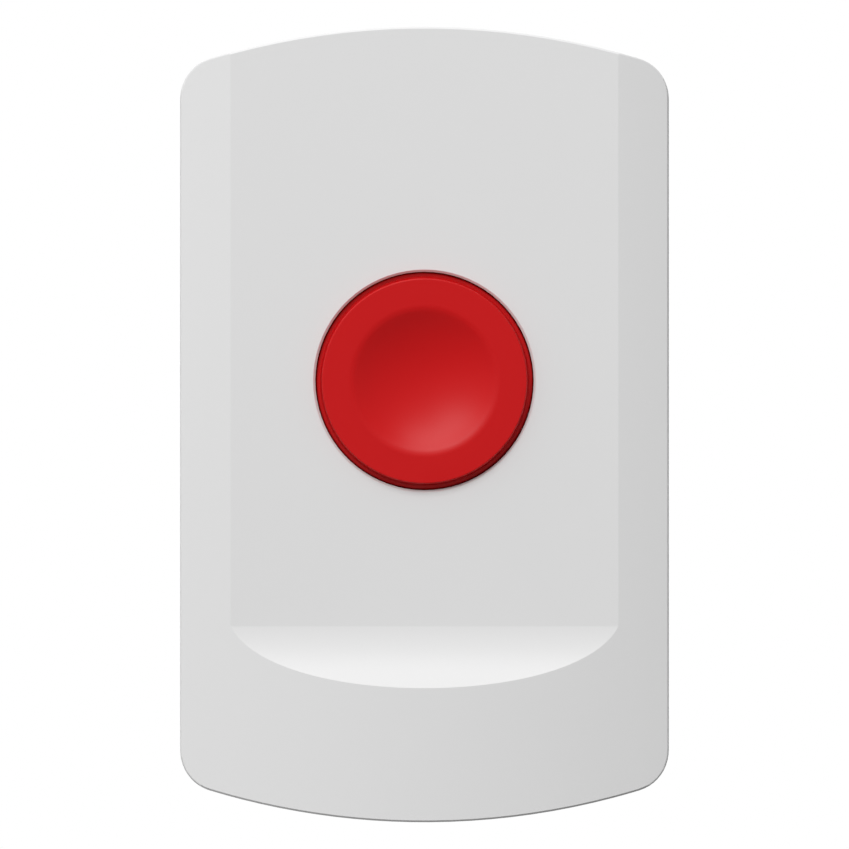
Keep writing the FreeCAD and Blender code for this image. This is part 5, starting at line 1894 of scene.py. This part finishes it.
@dataclass(frozen=True)
class Softbox:
    """One area lamp that looks at the object: where it hangs, its size in metres and its power."""

    name: str
    azimuth_deg: float
    elevation_deg: float
    distance: float
    width: float
    height: float
    watts: float

    def build(self) -> None:
        """Adds the lamp."""
        data = bpy.data.lights.new(self.name, "AREA")
        data.shape = "RECTANGLE"
        data.size = self.width
        data.size_y = self.height
        data.energy = self.watts
        lamp = bpy.data.objects.new(self.name, data)
        bpy.context.scene.collection.objects.link(lamp)
        azimuth, elevation = math.radians(self.azimuth_deg), math.radians(self.elevation_deg)
        direction = Vector((math.sin(azimuth) * math.cos(elevation),
                            -math.cos(azimuth) * math.cos(elevation), math.sin(elevation)))
        lamp.location = direction * self.distance
        lamp.rotation_mode = "QUATERNION"
        lamp.rotation_quaternion = (-direction).to_track_quat("-Z", "Y")


@dataclass
class Studio:
    """Floor, lamps, world and camera, with sizes in metres."""

    distance: float = 4.5
    lens_mm: float = 1502.0
    floor_half: float = 3.0
    floor_up: float = -0.075
    floor_fade: tuple[float, float] = (0.22, 0.45)
    paper_seen: Colour = (0.85, 0.85, 0.85)
    # Colour that the rays carrying light meet on the floor: painted shade, dark so that the object's
    # underside stays dark
    paper_painted_shade: Colour = (0.15, 0.15, 0.15)
    light_base: float = 0.38
    light_left: float = 0.56
    light_behind: float = 0.5
    lamps: tuple[Softbox, ...] = (
        Softbox("softbox_left", azimuth_deg=-28.0, elevation_deg=30.0, distance=2.0, width=0.9,
                height=0.6, watts=10.1),
        Softbox("softbox_right", azimuth_deg=-5.0, elevation_deg=46.0, distance=2.0, width=1.1,
                height=0.7, watts=16.2),
    )

    def build(self) -> None:
        """Builds the whole studio."""
        self.floor()
        for lamp in self.lamps:
            lamp.build()
        self.world()
        self.camera()
        bpy.context.scene.view_settings.view_transform = "Standard"

    def seen_share(self, graph: Graph) -> Socket:
        """Tells the rays that see the background from those that carry light.

        Args:
            graph: the tree that asks.

        Returns:
            1 for a ray from the camera, off a gloss or through glass, and 0 for any other.
        """
        path = graph.add("ShaderNodeLightPath")
        share = graph.math("MAXIMUM", path.outputs["Is Camera Ray"], path.outputs["Is Glossy Ray"])
        return graph.math("MAXIMUM", share, path.outputs["Is Transmission Ray"])

    def floor(self) -> None:
        """A wide sheet of pale paper below the object, which keeps the object's shadow.

        It is pale to the camera and dark to the rays that carry light: painted shade that keeps the
        object's underside dark. It fades into the white behind it, and isn't seen from below.
        """
        h, up = self.floor_half, self.floor_up
        mesh = plain_mesh("floor", [(-h, -h, up), (h, -h, up), (h, h, up), (-h, h, up)], [],
                          [(0, 1, 2, 3)])
        floor = new_object("floor", mesh)
        material, graph, shader = Finish("floor_paper", self.paper_seen).open()
        seen = self.seen_share(graph)
        # Pale to the camera and to reflections, painted dark for the light that the floor would bounce up
        # onto the object
        colour = graph.mix(seen, opaque(self.paper_painted_shade), opaque(self.paper_seen))
        graph.feed(shader, {"Base Color": colour, "Roughness": 0.9})
        flat = graph.add("ShaderNodeVectorMath", {0: graph.position(), 1: (1.0, 1.0, 0.0)},
                         operation="MULTIPLY").outputs[0]
        reach = graph.add("ShaderNodeVectorMath", {0: flat}, operation="LENGTH").outputs["Value"]
        far = graph.ramp(reach, *self.floor_fade, interpolation_type="SMOOTHSTEP")
        clear = graph.add("ShaderNodeBsdfTransparent").outputs[0]
        below = graph.add("ShaderNodeNewGeometry").outputs["Backfacing"]
        gone = graph.math("MULTIPLY", seen, graph.math("MAXIMUM", far, below))
        blend = graph.add("ShaderNodeMixShader", {0: gone, 1: shader.outputs[0], 2: clear})
        graph.feed(material.node_tree.nodes["Material Output"], {"Surface": blend.outputs[0]})
        mesh.materials.append(material)

    def world(self) -> None:
        """White behind the object, and soft light from all round, more from left and behind."""
        world = bpy.data.worlds.new("studio_world")
        bpy.context.scene.world = world
        world.use_nodes = True
        graph = Graph(world.node_tree)
        background = world.node_tree.nodes["Background"]
        direction = graph.add("ShaderNodeTexCoord").outputs["Generated"]
        parts = graph.add("ShaderNodeSeparateXYZ", {"Vector": direction})
        left = graph.math("MAXIMUM", graph.math("MULTIPLY", parts.outputs["X"], -1.0), 0.0)
        behind = graph.math("MAXIMUM", parts.outputs["Y"], 0.0)
        light = graph.math("MULTIPLY_ADD", left, self.light_left, self.light_base)
        light = graph.math("MULTIPLY_ADD", behind, self.light_behind, light)
        level = graph.add("ShaderNodeMix", {0: self.seen_share(graph), 2: light, 3: 1.0},
                          data_type="FLOAT")
        graph.feed(background, {"Color": (1.0, 1.0, 1.0, 1.0), "Strength": level.outputs[0]})

    def camera(self) -> None:
        """A long lens straight in front, as in the photograph."""
        data = bpy.data.cameras.new("camera")
        data.lens = self.lens_mm
        data.sensor_width = 36.0
        data.clip_end = 20.0
        camera = bpy.data.objects.new("camera", data)
        bpy.context.scene.collection.objects.link(camera)
        camera.location = (0.0, -self.distance, 0.0)
        camera.rotation_euler = (math.pi / 2, 0.0, 0.0)
        bpy.context.scene.camera = camera


def main() -> None:
    """Builds the object's sub-assemblies in order, then the studio."""
    logging.basicConfig(level=logging.INFO, format="%(name)s: %(message)s")
    for assembly in (Housing(), PushButton(), MainBoard(), Switches(), Electronics(), PowerSupply(),
                     Studio()):
        assembly.build()
        log.info("%s is done", type(assembly).__name__)


if __name__ == "__main__":
    main()
